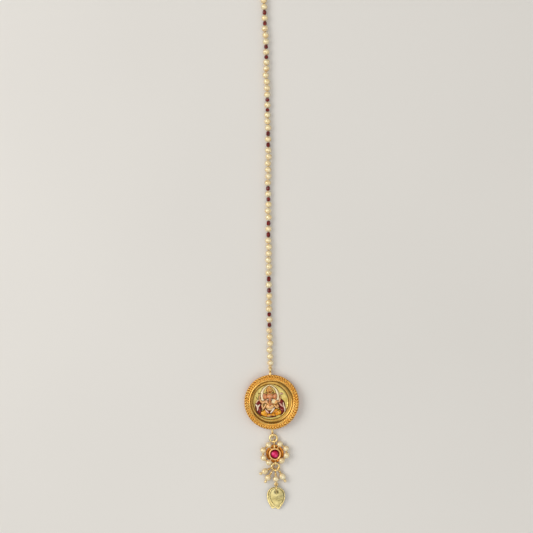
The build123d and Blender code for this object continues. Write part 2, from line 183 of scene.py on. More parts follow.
def pearl_material(name, warm, cool):
    """Nacre: a cream body with pale and honey patches, a soft glow under a glossy skin."""
    n = Nodes(name)
    big = n.noise(520.0, 2.0)
    fine = n.noise(1700.0, 4.0)
    body = n.mix(n.range(big, 0.0, 1.0, 0.36, 0.64), warm, cool)
    body = n.mix(n.range(fine, 0.0, 0.34, 0.45, 0.75), body, rgb(205, 156, 90))
    body = n.mix(n.range(n.noise(760.0, 3.0, 0.6), 0.0, 0.60, 0.55, 0.66), body, rgb(216, 162, 88))
    # painted shade: the face and back of each pearl stay palest, and its sides take a darker honey tone
    up = n.new("ShaderNodeSeparateXYZ")
    n.link(n.new("ShaderNodeNewGeometry").outputs["Normal"], up.inputs[0])
    level = n.new("ShaderNodeMath", operation="ABSOLUTE")
    n.link(up.outputs["Z"], level.inputs[0])
    body = n.mix(n.range(level.outputs[0], 0.62, 0.0, 0.02, 0.62), body, rgb(186, 136, 76))
    n.link(body, n.bsdf.inputs["Base Color"])
    n.set(Metallic=0.25, Roughness=0.24, Subsurface_Weight=0.08, Subsurface_Scale=0.0006, Coat_Weight=0.7,
          Coat_Roughness=0.06, IOR=1.55, Sheen_Weight=0.15, Sheen_Roughness=0.4)
    n.bsdf.inputs["Subsurface Radius"].default_value = (1.0, 0.75, 0.45)
    n.bump((n.noise(900.0, 2.0), 0.02, 0.35), (fine, 0.006, 0.35))
    return n.mat


def stone(name, deep, bright, transmission, rough=0.05, scale=700.0, ior=1.76, coat=0.6):
    """A clear dark red stone, lighter in random patches."""
    n = Nodes(name)
    veil = n.noise(scale, 4.0, 0.65)
    n.link(n.mix(n.range(veil, 0.0, 1.0, 0.38, 0.66), deep, bright), n.bsdf.inputs["Base Color"])
    n.set(Roughness=rough, Transmission_Weight=transmission, IOR=ior, Coat_Weight=coat, Coat_Roughness=0.03)
    n.bump((n.noise(2400.0, 3.0), 0.004, 0.25))
    return n.mat


def cabochon(name, centre, radius):
    """A ruby: magenta in the body, darkening to deep red towards its girdle as painted shade, with two painted
    highlights in rose where light gathers inside it.
    """
    n = Nodes(name)
    sub = n.new("ShaderNodeVectorMath", operation="SUBTRACT")
    sub.inputs[1].default_value = (centre[0] * MM, centre[1] * MM, 0)
    n.link(n.coord.outputs["Object"], sub.inputs[0])
    flat = n.new("ShaderNodeVectorMath", operation="MULTIPLY")
    flat.inputs[1].default_value = (1 / (radius * MM), 1 / (radius * MM), 0)
    n.link(sub.outputs[0], flat.inputs[0])

    def painted_highlight(x, y, size):
        d = n.new("ShaderNodeVectorMath", operation="DISTANCE")
        d.inputs[1].default_value = (x, y, 0)
        n.link(flat.outputs[0], d.inputs[0])
        wave = n.new("ShaderNodeMath", operation="ADD")
        n.link(d.outputs["Value"], wave.inputs[0])
        n.link(n.range(n.noise(900.0, 3.0), -0.16, 0.16), wave.inputs[1])
        return n.range(wave.outputs[0], 1.0, 0.0, size * 0.25, size)

    r = n.new("ShaderNodeVectorMath", operation="LENGTH")
    n.link(flat.outputs[0], r.inputs[0])
    # painted shade: darker red towards the girdle
    body = n.ramp(r.outputs["Value"], ((0.0, rgb(214, 0, 82)), (0.55, rgb(204, 4, 72)), (0.80, rgb(134, 0, 34)), (0.96, rgb(104, 0, 20))))
    body = n.mix(n.range(painted_highlight(-0.42, 0.14, 0.50), 0.0, 0.85), body, rgb(255, 74, 140))
    body = n.mix(n.range(painted_highlight(0.30, -0.36, 0.50), 0.0, 0.75), body, rgb(250, 78, 140))
    body = n.mix(n.range(n.noise(1500.0, 4.0), 0.0, 0.25, 0.5, 0.8), body, rgb(120, 0, 30))
    n.link(body, n.bsdf.inputs["Base Color"])
    n.set(Roughness=0.17, IOR=1.38, Coat_Weight=0.0, Transmission_Weight=0.0)
    n.bump((n.noise(1200.0, 3.0), 0.010, 0.25))
    return n.mat


def enamel(name, light, dark, deep, rough=0.22, coat=0.6, metallic=0.0, folds=None):
    """Fired enamel: a darker colour painted into the creases as painted shade, and lighter colour on the raised parts.
    """
    n = Nodes(name)
    speck = n.noise(1500.0, 4.0)
    tone = n.mix(n.range(speck, 0.0, 1.0, 0.30, 0.70), light, dark)
    # painted shade: creases found by pointiness take the deep colour
    painted_shade = n.range(n.pointiness(), 1.0, 0.0, 0.40, 0.49)
    n.link(n.mix(painted_shade, tone, deep), n.bsdf.inputs["Base Color"])
    n.link(n.range(speck, rough * 0.7, rough * 1.4), n.bsdf.inputs["Roughness"])
    n.set(Metallic=metallic, Coat_Weight=coat, Coat_Roughness=0.08)
    layers = [(speck, 0.01, 0.4)]
    if folds:
        layers.append((n.noise(700.0, 2.0, 0.5, folds), 0.03, 0.5))
    n.bump(*layers)
    return n.mat


GOLD_RIM = gold("gold_corded", rgb(255, 220, 124), rgb(255, 198, 90), (0.235, 0.40), 0.022, 0.44, (0.80, 0.34, 0.04, 1), groove=(0.68, 0.22, 0.015, 1))
GOLD_RIM.node_tree.nodes["Principled BSDF"].inputs["Metallic"].default_value = 0.80
GOLD_BRIGHT = gold("gold_bright", rgb(254, 212, 124), rgb(246, 190, 94), (0.14, 0.26), 0.006, 0.4, (0.36, 0.15, 0.02, 1))
GOLD_CHANNEL = gold("gold_channel", rgb(214, 176, 98), rgb(194, 150, 72), (0.26, 0.38), 0.005, 0.5, (0.16, 0.06, 0.01, 1))
GOLD_SATIN = gold("gold_satin", rgb(232, 158, 68), rgb(208, 128, 42), (0.26, 0.40), 0.012, 0.5, (0.28, 0.10, 0.012, 1))
GOLD_WIRE = gold("gold_wire", rgb(255, 238, 178), rgb(255, 222, 146), (0.24, 0.36), 0.010, 0.3, (0.56, 0.28, 0.06, 1))
GOLD_BEZEL = gold("gold_bezel", rgb(255, 210, 140), rgb(255, 190, 112), (0.38, 0.52), 0.010, 0.2, (0.62, 0.28, 0.06, 1))
GOLD_BEZEL.node_tree.nodes["Principled BSDF"].inputs["Metallic"].default_value = 0.90
GOLD_PALE = gold("gold_pale", rgb(214, 202, 148), rgb(194, 178, 118), (0.26, 0.38), 0.006, 0.3, (0.26, 0.17, 0.05, 1))
GOLD_BALL = gold("gold_ball", rgb(255, 236, 182), rgb(255, 218, 156), (0.24, 0.40), 0.016, 0.2, (0.70, 0.40, 0.14, 1))
# a lighter copy of the leaves' pale gold, a painted highlight on their rolled rims and hole lips
GOLD_PALE_HIGHLIGHT = gold("gold_pale_edge_highlight", rgb(250, 232, 168), rgb(240, 214, 142), (0.20, 0.32), 0.008, 0.3, (0.25, 0.16, 0.05, 1))
PEARL = pearl_material("pearl_cream", rgb(255, 242, 200), rgb(253, 226, 166))
THREAD = Nodes("thread_silk")
THREAD.link(THREAD.ramp(THREAD.noise(3000.0, 3.0), ((0.3, rgb(206, 170, 104)), (0.7, rgb(238, 214, 160)))), THREAD.bsdf.inputs["Base Color"])
THREAD.set(Roughness=0.55, Sheen_Weight=0.4)
THREAD.bump((THREAD.noise(3000.0, 3.0, 0.5, (1.0, 6.0, 1.0)), 0.02, 0.5))
THREAD = THREAD.mat
GARNET = stone("garnet", rgb(84, 5, 0), rgb(134, 20, 4), 0.04, 0.16, 900.0, 1.38, 0.04)
GROUND = gold("enamel_ground", rgb(228, 208, 128), rgb(206, 180, 98), (0.24, 0.38), 0.010, 0.5, (0.22, 0.14, 0.03, 1))
SKIN = enamel("enamel_skin", rgb(255, 208, 136), rgb(246, 178, 102), rgb(144, 64, 20), 0.26, 0.35)
FACE = enamel("enamel_face", rgb(248, 172, 106), rgb(228, 136, 72), rgb(140, 52, 18), 0.26, 0.35)
HAND = enamel("enamel_hand", rgb(255, 208, 156), rgb(250, 184, 126), rgb(150, 70, 30), 0.26, 0.3)
EAR = enamel("enamel_ear", rgb(210, 140, 86), rgb(180, 106, 58), rgb(110, 42, 16), 0.28, 0.3)
DHOTI = enamel("enamel_dhoti", rgb(255, 192, 40), rgb(250, 156, 12), rgb(160, 64, 4), 0.26, 0.35)
MAROON = enamel("enamel_maroon", rgb(142, 22, 2), rgb(98, 10, 1), rgb(40, 2, 0), 0.38, 0.06)
MAROON.node_tree.nodes["Principled BSDF"].inputs["Specular IOR Level"].default_value = 0.25
WHITE = enamel("enamel_white", rgb(255, 246, 224), rgb(255, 236, 206), rgb(196, 130, 84), 0.26, 0.25)
CREAM = enamel("enamel_cream", rgb(255, 238, 190), rgb(250, 220, 160), rgb(190, 120, 60))
SWEET = enamel("enamel_sweet", rgb(255, 196, 120), rgb(244, 164, 84), rgb(160, 80, 30))
BLUSH = enamel("enamel_blush", rgb(252, 196, 176), rgb(240, 158, 140), rgb(150, 70, 50), 0.26, 0.3)
CROWN = gold("figure_gold", rgb(236, 184, 112), rgb(212, 150, 80), (0.30, 0.46), 0.014, 0.9, (0.16, 0.06, 0.01, 1))
HALO = gold("figure_halo", rgb(255, 240, 178), rgb(246, 218, 140), (0.12, 0.24), 0.008, 0.6)
NIMBUS = enamel("enamel_nimbus", rgb(255, 242, 204), rgb(248, 222, 168), rgb(180, 138, 78), 0.22, 0.4)
PETAL = enamel("enamel_petal", rgb(255, 218, 196), rgb(252, 194, 168), rgb(180, 96, 64), 0.26, 0.25)
OLIVE = enamel("enamel_olive", rgb(150, 142, 58), rgb(110, 104, 34), rgb(60, 50, 12))
DARK = enamel("enamel_dark", rgb(96, 38, 14), rgb(70, 24, 8), rgb(30, 8, 4), 0.34, 0.1)
# dark enamel laid round the foot of raised shapes as painted shade
SHADE_LINE = enamel("enamel_shade_line", rgb(108, 44, 12), rgb(80, 28, 6), rgb(44, 14, 3), 0.40, 0.06)


# ------------------------------------------------------------------ mesh making, in millimetres
class Build:
    """Vertices and faces of one piece, with a material for each face."""

    def __init__(self):
        self.v, self.f, self.mats, self.m, self.smooth, self.count = [], [], [], [], [], 0
        self.painted_shade = []

    def add(self, verts, faces, mat, smooth=True, painted_shade=None):
        verts = np.asarray(verts, float).reshape(-1, 3)
        if mat not in self.mats:
            self.mats.append(mat)
        self.v.append(verts)
        self.painted_shade.append(np.zeros(len(verts)) if painted_shade is None else np.asarray(painted_shade, float))
        self.f.extend(tuple(int(i) + self.count for i in f) for f in faces)
        self.m.extend([self.mats.index(mat)] * len(faces))
        self.smooth.extend([smooth] * len(faces))
        self.count += len(verts)
        return self

    def make(self, name, slot, *nodes):
        """The Blender object, which rides on the root and stands for the CAD nodes named."""
        mesh = bpy.data.meshes.new(name)
        mesh.from_pydata((np.vstack(self.v) * MM).tolist(), [], self.f)
        for mat in self.mats:
            mesh.materials.append(mat)
        mesh.polygons.foreach_set("material_index", self.m)
        mesh.polygons.foreach_set("use_smooth", self.smooth)
        depth = np.concatenate(self.painted_shade)
        if depth.any():     # how far each point of a cord lies in the groove between its strands, which the gold shader darkens as painted shade
            mesh.attributes.new("painted_shade", "FLOAT", "POINT").data.foreach_set("value", depth.astype(np.float32))
        mesh.update()
        bad = mesh.validate()
        if bad:
            print("repaired", name)
        obj = bpy.data.objects.new(name, mesh)
        bpy.context.scene.collection.objects.link(obj)
        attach(obj, "root")
        if nodes:
            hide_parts(*nodes)
        return obj


def grid_faces(rows, cols, wrap_rows=False, wrap_cols=True, flip=False):
    out = []
    for i in range(rows if wrap_rows else rows - 1):
        for j in range(cols if wrap_cols else cols - 1):
            a, b = i * cols + j, i * cols + (j + 1) % cols
            k = ((i + 1) % rows) * cols
            c, d = k + (j + 1) % cols, k + j
            out.append((a, d, c, b) if flip else (a, b, c, d))
    return out


def smooth_path(points, per=8, closed=False):
    """A Catmull-Rom line through the points; extra columns such as radius ride along."""
    p = np.asarray(points, float)
    n = len(p)
    if n == 2 and not closed:
        t = np.linspace(0, 1, per + 1)[:, None]
        return p[0] * (1 - t) + p[1] * t
    out = []
    spans = n if closed else n - 1
    for i in range(spans):
        if closed:
            a, b, c, d = p[(i - 1) % n], p[i], p[(i + 1) % n], p[(i + 2) % n]
        else:
            b, c = p[i], p[i + 1]
            a = p[i - 1] if i else 2 * b - c
            d = p[i + 2] if i + 2 < n else 2 * c - b
        for k in range(per):
            t = k / per
            out.append(0.5 * (2 * b + (c - a) * t + (2 * a - 5 * b + 4 * c - d) * t * t + (3 * b - a - 3 * c + d) * t ** 3))
    if not closed:
        out.append(p[-1])
    return np.array(out)


def unit(v):
    return v / np.maximum(np.linalg.norm(v, axis=-1, keepdims=True), 1e-12)


def tube(path, radius, sides=12, closed=False, side=None, flat=1.0, caps=True, phase=0.0):
    """A tube along a path. side: a vector or one a point, roughly square to the path, that the section is laid out from.
    flat squashes the section along the second direction. Open ends are rounded."""
    p = np.asarray(path, float)
    n = len(p)
    r = np.broadcast_to(np.asarray(radius, float), (n,)).copy()
    if closed:
        tan = unit(np.roll(p, -1, 0) - np.roll(p, 1, 0))
    else:
        tan = unit(np.gradient(p, axis=0))
    if side is None:
        side = np.array((0.0, 0.0, 1.0)) if abs(tan[:, 2]).max() < 0.9 else np.array((1.0, 0.0, 0.0))
    s = np.broadcast_to(np.asarray(side, float), (n, 3))
    u = unit(s - (s * tan).sum(1, keepdims=True) * tan)
    w = np.cross(tan, u)
    if caps and not closed:
        q = [(-math.cos(a), math.sin(a)) for a in np.linspace(0, math.pi / 2, 5)[:-1]]
        head = [(p[0] + tan[0] * r[0] * c, r[0] * max(k, 0.02), u[0], w[0]) for c, k in q]
        tail = [(p[-1] - tan[-1] * r[-1] * c, r[-1] * max(k, 0.02), u[-1], w[-1]) for c, k in reversed(q)]
        rows = head + [(p[i], r[i], u[i], w[i]) for i in range(n)] + tail
    else:
        rows = [(p[i], r[i], u[i], w[i]) for i in range(n)]
    ang = np.linspace(0, TAU, sides, endpoint=False) + phase
    ca, sa = np.cos(ang)[:, None], np.sin(ang)[:, None]
    verts = np.vstack([c + k * (ca * a * flat + sa * b) for c, k, a, b in rows])
    faces = grid_faces(len(rows), sides, closed, True, flip=True)
    if not closed:
        faces.append(tuple(range(sides)))
        faces.append(tuple(reversed(range((len(rows) - 1) * sides, len(rows) * sides))))
    return verts, faces


def lathe(profile, n=192, centre=(0, 0), shift=None):
    """A profile of (radius, z) turned about Z. shift(r) gives a sideways move of a ring. Ends on the axis are closed."""
    ang = np.linspace(0, TAU, n, endpoint=False)
    verts, faces, rows = [], [], []
    for r, z in profile:
        dx = shift(r) if shift else 0.0
        if r < 1e-6:
            rows.append([len(verts)] * n)
            verts.append((centre[0] + dx, centre[1], z))
        else:
            k = len(verts)
            rows.append(list(range(k, k + n)))
            verts.extend((centre[0] + dx + r * math.cos(a), centre[1] + r * math.sin(a), z) for a in ang)
    for a, b in zip(rows, rows[1:]):
        for j in range(n):
            q = [a[j], a[(j + 1) % n], b[(j + 1) % n], b[j]]
            q = [x for i, x in enumerate(q) if x not in q[:i]]
            if len(q) > 2:
                faces.append(tuple(q))
    return np.array(verts), faces


def rounded(profile, per=6):
    return smooth_path(profile, per)


def ring(c, r, wire, n=64, sides=14, heading=None, start=0.0, sweep=TAU, bulge=None):
    """A round ring: flat if heading is None, else standing in the plane of Z and that heading in degrees.
    Less than a full turn leaves a cut with rounded ends. bulge(t) adds to the radius along it."""
    full = sweep >= TAU - 1e-6
    t = start + np.linspace(0, sweep, n, endpoint=not full)
    rr = r + (bulge((t - start) / sweep) if bulge else 0.0)
    if heading is None:
        p = np.c_[c[0] + rr * np.cos(t), c[1] + rr * np.sin(t), np.full(len(t), c[2])]
        side = (0, 0, 1)
    else:
        a = math.radians(heading)
        p = np.c_[c[0] + rr * np.cos(t) * math.cos(a), c[1] + rr * np.cos(t) * math.sin(a), c[2] + rr * np.sin(t)]
        side = (-math.sin(a), math.cos(a), 0)
    return tube(p, wire, sides, closed=full, side=side)


def ball(c, radii, around=(0, 0, 1), rows=20, cols=32, wobble=0.0, seed=0.0, dimple=0.0, hole=0.0):
    """A ball with its poles along around, slightly uneven, with a dimple and drilled hole at each pole if asked."""
    radii = np.broadcast_to(np.asarray(radii, float), (3,))
    z = unit(np.asarray(around, float))
    x = unit(np.cross(z, (0.0, 0.0, 1.0) if abs(z[2]) < 0.9 else (1.0, 0.0, 0.0)))
    y = np.cross(z, x)
    th = np.linspace(0, math.pi, rows + 1)
    if hole:
        lim = math.asin(min(0.9, hole / min(radii)))
        th = np.linspace(lim, math.pi - lim, rows + 1)
    ph = np.linspace(0, TAU, cols, endpoint=False)
    verts = []
    for t in th:
        k = 1.0
        if dimple:
            k -= dimple * (math.exp(-(t / 0.32) ** 2) + math.exp(-((math.pi - t) / 0.32) ** 2))
        for a in ph:
            d = np.array((math.sin(t) * math.cos(a), math.sin(t) * math.sin(a), math.cos(t)))
            wv = 1.0 - wobble * (0.5 + 0.5 * math.sin(3.1 * d[0] + 2.3 * d[1] + seed * 5.7) * math.cos(2.7 * d[2] - 1.9 * d[0] + seed * 3.3))
            e = d * radii * k * wv
            verts.append(x * e[0] + y * e[1] + z * e[2])
    verts = np.array(verts)
    faces = grid_faces(len(th), cols, False, True, flip=False)
    faces = [tuple(reversed(f)) for f in faces]
    first, last = len(verts), len(verts) + 1
    inner = 0.35 if hole else 1.0
    top, bottom = verts[:cols].mean(0) * inner, verts[-cols:].mean(0) * inner
    verts = np.vstack([verts, top, bottom]) + np.asarray(c, float)
    faces += [(first, j, (j + 1) % cols) for j in range(cols)]
    base = (len(th) - 1) * cols
    faces += [(last, base + (j + 1) % cols, base + j) for j in range(cols)]
    return verts, faces


def helix(start, end, radius, wire, turns, per=14, sides=8, turn0=0.0):
    """A wire wound round the line from start to end."""
    a, b = np.asarray(start, float), np.asarray(end, float)
    z = unit(b - a)
    x = unit(np.cross(z, (0.0, 0.0, 1.0)))
    y = np.cross(z, x)
    n = int(turns * per) + 1
    t = np.linspace(0, 1, n)
    ang = turn0 + t * turns * TAU
    out = np.outer(np.cos(ang), x) + np.outer(np.sin(ang), y)
    return tube(a + np.outer(t, b - a) + out * radius, wire, sides, side=out)


def rope(r, z, strand, off, bumps, per=8, sides=10, phase=0.0, hand=1, slack=0.0):
    """Two strands twisted round a circle of radius r at height z, with an odd number of strand crossings:
    the strands join up, so they are one closed tube that goes round twice. slack lets the twist drift a little."""
    n = bumps * per
    t = np.linspace(0, 2 * TAU, n, endpoint=False)
    a = hand * t * bumps / 2 + phase + slack * np.sin(2.5 * t)
    rad = r + off * np.cos(a)
    p = np.c_[rad * np.cos(t), rad * np.sin(t), z + off * np.sin(a)]
    out = np.c_[np.cos(a) * np.cos(t), np.cos(a) * np.sin(t), np.sin(a)]
    verts, faces = tube(p, strand, sides, closed=True, side=out)
    # how deep each point lies in the groove between the strands, for painted shade there
    far = np.hypot(np.hypot(verts[:, 0], verts[:, 1]) - r, verts[:, 2] - z) / (off + strand)
    painted_shade = np.clip((0.86 - far) / 0.34, 0, 1)
    return verts, faces, painted_shade


# ------------------------------------------------------------------ medallion case
case = Build()
RIM_R, BACK_R, SEAT_X = 10.15, 9.20, -0.30
SEAT_R = 6.58


def seat_shift(r):
    """The plaque's seat is off centre, and the channel runs out to it."""
    k = min(1.0, max(0.0, (7.7 - r) / 1.0))
    return SEAT_X * k * k * (3 - 2 * k)


wall = rounded([(BACK_R, 0.0), (9.55, 0.10), (9.82, 0.36), (9.90, 0.60), (9.78, 0.78), (9.86, 0.98), (9.98, 1.25),
                (10.02, 1.60), (9.98, 1.92), (9.84, 2.14), (9.60, 2.22)], 5)
back = [(0, 0.10), (7.70, 0.10), (7.86, 0.04), (8.02, 0.04), (8.18, 0.10), (8.34, 0.05), (8.46, 0.0), (8.7, 0.0)]
case.add(*lathe(back + list(wall), 224), GOLD_SATIN)
top = [(9.60, 2.22), (9.10, 2.30), (8.60, 2.38), (8.10, 2.52)]
case.add(*lathe(top, 224), GOLD_RIM)
channel = rounded([(7.86, 2.66), (7.84, 2.30), (7.80, 1.98), (7.66, 1.70), (7.40, 1.50), (7.05, 1.40), (6.75, 1.42), (6.62, 1.50)], 6)
case.add(*lathe([(8.10, 2.52), (7.95, 2.66)] + list(channel), 224, shift=seat_shift), GOLD_CHANNEL)
case.add(*lathe([(6.62, 1.50), (SEAT_R, 1.46), (SEAT_R, 0.96), (0, 0.96)], 224, shift=seat_shift), GOLD_CHANNEL)
for c, side in (((-0.50, 11.75), -1), ((0.30, -12.27), 1)):
    case.add(*ring((*c, 1.2), 0.76, 0.34, 56, 16, heading=90), GOLD_WIRE)
    y0 = -side * 9.85
    case.add(*tube(smooth_path([(c[0], y0, 1.2, 0.48), (c[0], y0 - side * 0.35, 1.2, 0.42), (c[0], c[1] + side * 0.86, 1.2, 0.38)], 6)[:, :3],
                   smooth_path([(c[0], y0, 1.2, 0.48), (c[0], y0 - side * 0.35, 1.2, 0.42), (c[0], c[1] + side * 0.86, 1.2, 0.38)], 6)[:, 3], 16), GOLD_WIRE)
    # a small washer of solder where the loop meets the wall
    case.add(*ball((c[0], y0 - side * 0.12, 1.2), (0.55, 0.55, 0.20), (0, 1, 0), 10, 20), GOLD_WIRE)
case.make("medallion_case", "gold", "medallion_bezel")

cord = Build()
verts, faces, painted_shade = rope(9.57, 2.60, 0.272, 0.260, 61, per=24, phase=0.13, hand=-1, slack=0.12)
cord.add(verts, faces, GOLD_RIM, painted_shade=painted_shade)
cord.add(*ring((0, 0, 2.88), 9.115, 0.115, 224, 10), GOLD_RIM)
cord.make("medallion_rope_outer", "gold")
cord = Build()
verts, faces, painted_shade = rope(8.745, 2.64, 0.226, 0.176, 61, per=24, phase=-0.47, slack=0.10)
cord.add(verts, faces, GOLD_RIM, painted_shade=painted_shade)
cord.add(*ring((0, 0, 2.84), 8.375, 0.10, 224, 10), GOLD_RIM)
cord.add(*ring((0, 0, 2.72), 8.14, 0.225, 224, 14), GOLD_BRIGHT)
cord.make("medallion_rope_inner", "gold")

# ------------------------------------------------------------------ enamelled plaque
PX = SEAT_X
GROUND_Z = 1.52


def dome(x, y):
    """Height of the plaque's slightly domed ground."""
    d = math.hypot(x - PX, y) / 6.52
    return GROUND_Z + 0.20 * (1 - d * d)


plaque = Build()
disc = [(0, 1.0), (6.35, 1.0), (6.50, 1.08), (6.51, 1.40), (6.47, 1.56), (6.38, 1.64), (6.27, 1.62), (6.20, 1.55)]
disc += [(r, GROUND_Z + 0.20 * (1 - (r / 6.52) ** 2)) for r in (6.05, 5.5, 4.8, 4.0, 3.2, 2.4, 1.6, 0.8)] + [(0, GROUND_Z + 0.20)]
plaque.add(*lathe(disc, 160, (PX, 0)), GROUND)


def contour(r):
    """Width of the dark line of painted shade round a raised shape of radius r."""
    return min(0.125, 0.045 + 0.12 * r)


# shapes in these enamels get a dark contour of painted shade round their foot
outlined = {m.name for m in (SKIN, FACE, HAND, EAR, DHOTI, WHITE, BLUSH, PETAL, CREAM)}


def limb(points, mat, flat=0.62, sides=14, per=7, lift=0.0, into=plaque):
    """A rounded limb in relief along rows of (x, y, radius), half sunk in the ground; a fourth column lifts it.
    Larger limbs have a dark contour line of enamel round their foot, as painted shade."""
    rows = [(p[0], p[1], p[2], (p[3] if len(p) > 3 else 0.0) + lift) for p in points]
    s = smooth_path(rows, per)
    z = np.array([dome(x, y) for x, y in s[:, :2]]) + s[:, 3]
    r = np.maximum(s[:, 2], 0.02)
    into.add(*tube(np.c_[s[:, 0], s[:, 1], z], r, sides, side=(0, 0, 1), flat=flat), mat)
    if mat.name in outlined and max(p[2] for p in points) > 0.12:
        into.add(*tube(np.c_[s[:, 0], s[:, 1], z - 0.09 - 0.10 * r], r + contour(max(r)), sides, side=(0, 0, 1), flat=flat), SHADE_LINE)


def surface():
    """The relief as it stands so far, to lay thin lines on."""
    return BVHTree.FromPolygons([tuple(v) for v in np.vstack(plaque.v)], plaque.f)


def laid(on, points, mat, rise=0.0, per=7, sides=8):
    """A thin line of (x, y, radius) that follows the relief it crosses."""
    s = smooth_path(points, per)
    z = np.array([on.ray_cast(Vector((x, y, 9.0)), Vector((0, 0, -1)))[0].z for x, y in s[:, :2]])
    z = np.convolve(np.r_[z[0], z[0], z, z[-1], z[-1]], np.ones(5) / 5, "valid")
    plaque.add(*tube(np.c_[s[:, :2], z + rise], np.maximum(s[:, 2], 0.02), sides, side=(0, 0, 1)), mat)


def bead(x, y, r, mat, lift=0.0, flat=0.7, into=plaque):
    into.add(*ball((x, y, dome(x, y) + lift), (r, r, r * flat), (0, 0, 1), 10, 16), mat)


def egg(x, y, rx, ry, rz, mat, turn=0.0, lift=0.0, into=plaque):
    a = math.radians(turn)
    passes = [(rx, ry, rz, lift, mat)]
    # larger shapes in outlined enamels get a dark contour of painted shade below them
    if mat.name in outlined and min(rx, ry) > 0.3:
        passes.append((rx + contour(rx), ry + contour(ry), rz, lift - 0.09 - 0.06 * rz, SHADE_LINE))
    for ax, ay, az, up, m in passes:
        v, f = ball((0, 0, 0), (1, 1, 1), (0, 0, 1), 18, 30)
        x1 = v[:, 0] * ax * math.cos(a) - v[:, 1] * ay * math.sin(a) + x
        y1 = v[:, 0] * ax * math.sin(a) + v[:, 1] * ay * math.cos(a) + y
        into.add(np.c_[x1, y1, v[:, 2] * az + dome(x, y) + up], f, m)


# nimbus: a pointed oval band of pale enamel between two fine gold wires, with beads along its outside
halo_line = [(-0.24, 6.00), (0.92, 5.30), (1.78, 4.20), (2.20, 2.90), (2.30, 1.65), (1.95, 0.80),
             (-2.95, 0.70), (-3.42, 1.35), (-3.60, 2.60), (-3.36, 3.90), (-2.60, 5.10), (-1.50, 5.88)]
halo_path = smooth_path(halo_line, 12, closed=True)
hz = np.array([dome(x, y) for x, y in halo_path])
# the band is widest beside the head and narrows to its point
half = 0.41 - 0.19 * np.clip((halo_path[:, 1] - 3.4) / 2.4, 0, 1)
plaque.add(*tube(np.c_[halo_path, hz + 0.02], half, 24, closed=True, side=(0, 0, 1), flat=0.40), NIMBUS)
step = unit(np.roll(halo_path, -1, 0) - np.roll(halo_path, 1, 0)) @ np.array(((0, -1), (1, 0)))
step *= np.sign((step * (halo_path - np.array((-0.60, 3.0)))).sum(1))[:, None]
# fine gold wires along the band's two edges, and dark lines of painted shade outside them
for away, wire, mat, up in ((-1.0, 0.070, HALO, 0.05), (1.0, 0.070, HALO, 0.05), (-1.28, 0.10, SHADE_LINE, 0.0), (1.28, 0.085, SHADE_LINE, 0.0)):
    q = halo_path + step * half[:, None] * away
    plaque.add(*tube(np.c_[q, hz + up], wire, 8, closed=True, side=(0, 0, 1)), mat)
q = halo_path + step * (half[:, None] + 0.30)
for k in range(0, len(q), 3):
    if math.hypot(q[k][0] - PX, q[k][1]) < 6.05 and q[k][1] > 1.0:
        bead(q[k][0], q[k][1], 0.12, HALO, 0.02, 1.0)

# bolsters on each side, with dark painted shade round their foot and in a patch at the lower left, white, cream and
# pink strokes as painted highlights, and a seat line below
limb([(-4.42, 0.58, 0.52), (-4.84, -0.45, 0.96), (-4.90, -1.95, 1.14), (-4.62, -3.25, 1.00), (-3.78, -4.62, 0.62)], MAROON, 0.52, 20, lift=-0.04)
# dark painted shade round the left bolster's foot
limb([(-4.42, 0.58, 0.64), (-4.84, -0.45, 1.09), (-4.90, -1.95, 1.27), (-4.62, -3.25, 1.13), (-3.78, -4.62, 0.74)], DARK, 0.42, 20, lift=-0.10)
# a painted shade patch along the left bolster's outer lower side
limb([(-5.66, -2.75, 0.16), (-5.34, -3.48, 0.28), (-4.86, -4.08, 0.25), (-4.42, -4.46, 0.13)], DARK, 0.8, 12, lift=0.16)
# white, cream and blush strokes: painted highlights on the left bolster
limb([(-5.88, -0.92, 0.20), (-5.40, -1.48, 0.35), (-5.12, -2.15, 0.40), (-5.22, -3.10, 0.22)], WHITE, 0.8, 12, lift=0.46)
limb([(-4.36, -0.95, 0.17), (-4.70, -1.40, 0.28), (-5.06, -1.95, 0.30)], WHITE, 0.8, 12, lift=0.50)
limb([(-4.72, 0.80, 0.17), (-5.26, 0.34, 0.28), (-5.78, -0.42, 0.18)], CREAM, 0.8, 12, lift=0.30)
limb([(-4.36, -2.55, 0.08), (-4.26, -3.70, 0.09)], BLUSH, 0.9, 8, lift=0.46)
limb([(3.20, 0.82, 0.55), (3.76, -0.35, 1.00), (3.92, -1.80, 1.10), (3.84, -3.05, 0.94), (3.30, -4.35, 0.58)], MAROON, 0.54, 20, lift=-0.04)
# dark painted shade round the right bolster's foot
limb([(3.20, 0.82, 0.66), (3.76, -0.35, 1.12), (3.92, -1.80, 1.24), (3.84, -3.05, 1.08), (3.30, -4.35, 0.70)], DARK, 0.44, 20, lift=-0.10)
# pink, white and blush strokes: painted highlights on the right bolster
limb([(2.90, -0.45, 0.18), (3.40, -0.92, 0.31), (4.02, -1.62, 0.18)], PETAL, 0.8, 12, lift=0.54)
limb([(4.30, -0.20, 0.16), (4.46, -1.30, 0.27), (4.88, -2.45, 0.27), (4.86, -3.45, 0.15)], WHITE, 0.8, 12, lift=0.42)
limb([(3.20, -2.50, 0.08), (3.72, -2.86, 0.11), (4.24, -2.92, 0.08)], BLUSH, 0.9, 8, lift=0.50)
limb([(-3.40, -5.18, 0.15), (-1.80, -5.56, 0.19), (0.0, -5.64, 0.19), (1.60, -5.38, 0.15)], DARK, 0.7, 10)
limb([(-3.05, -4.98, 0.13), (-1.50, -5.30, 0.16), (0.2, -5.36, 0.16), (1.70, -5.10, 0.12)], MAROON, 0.8, 10)

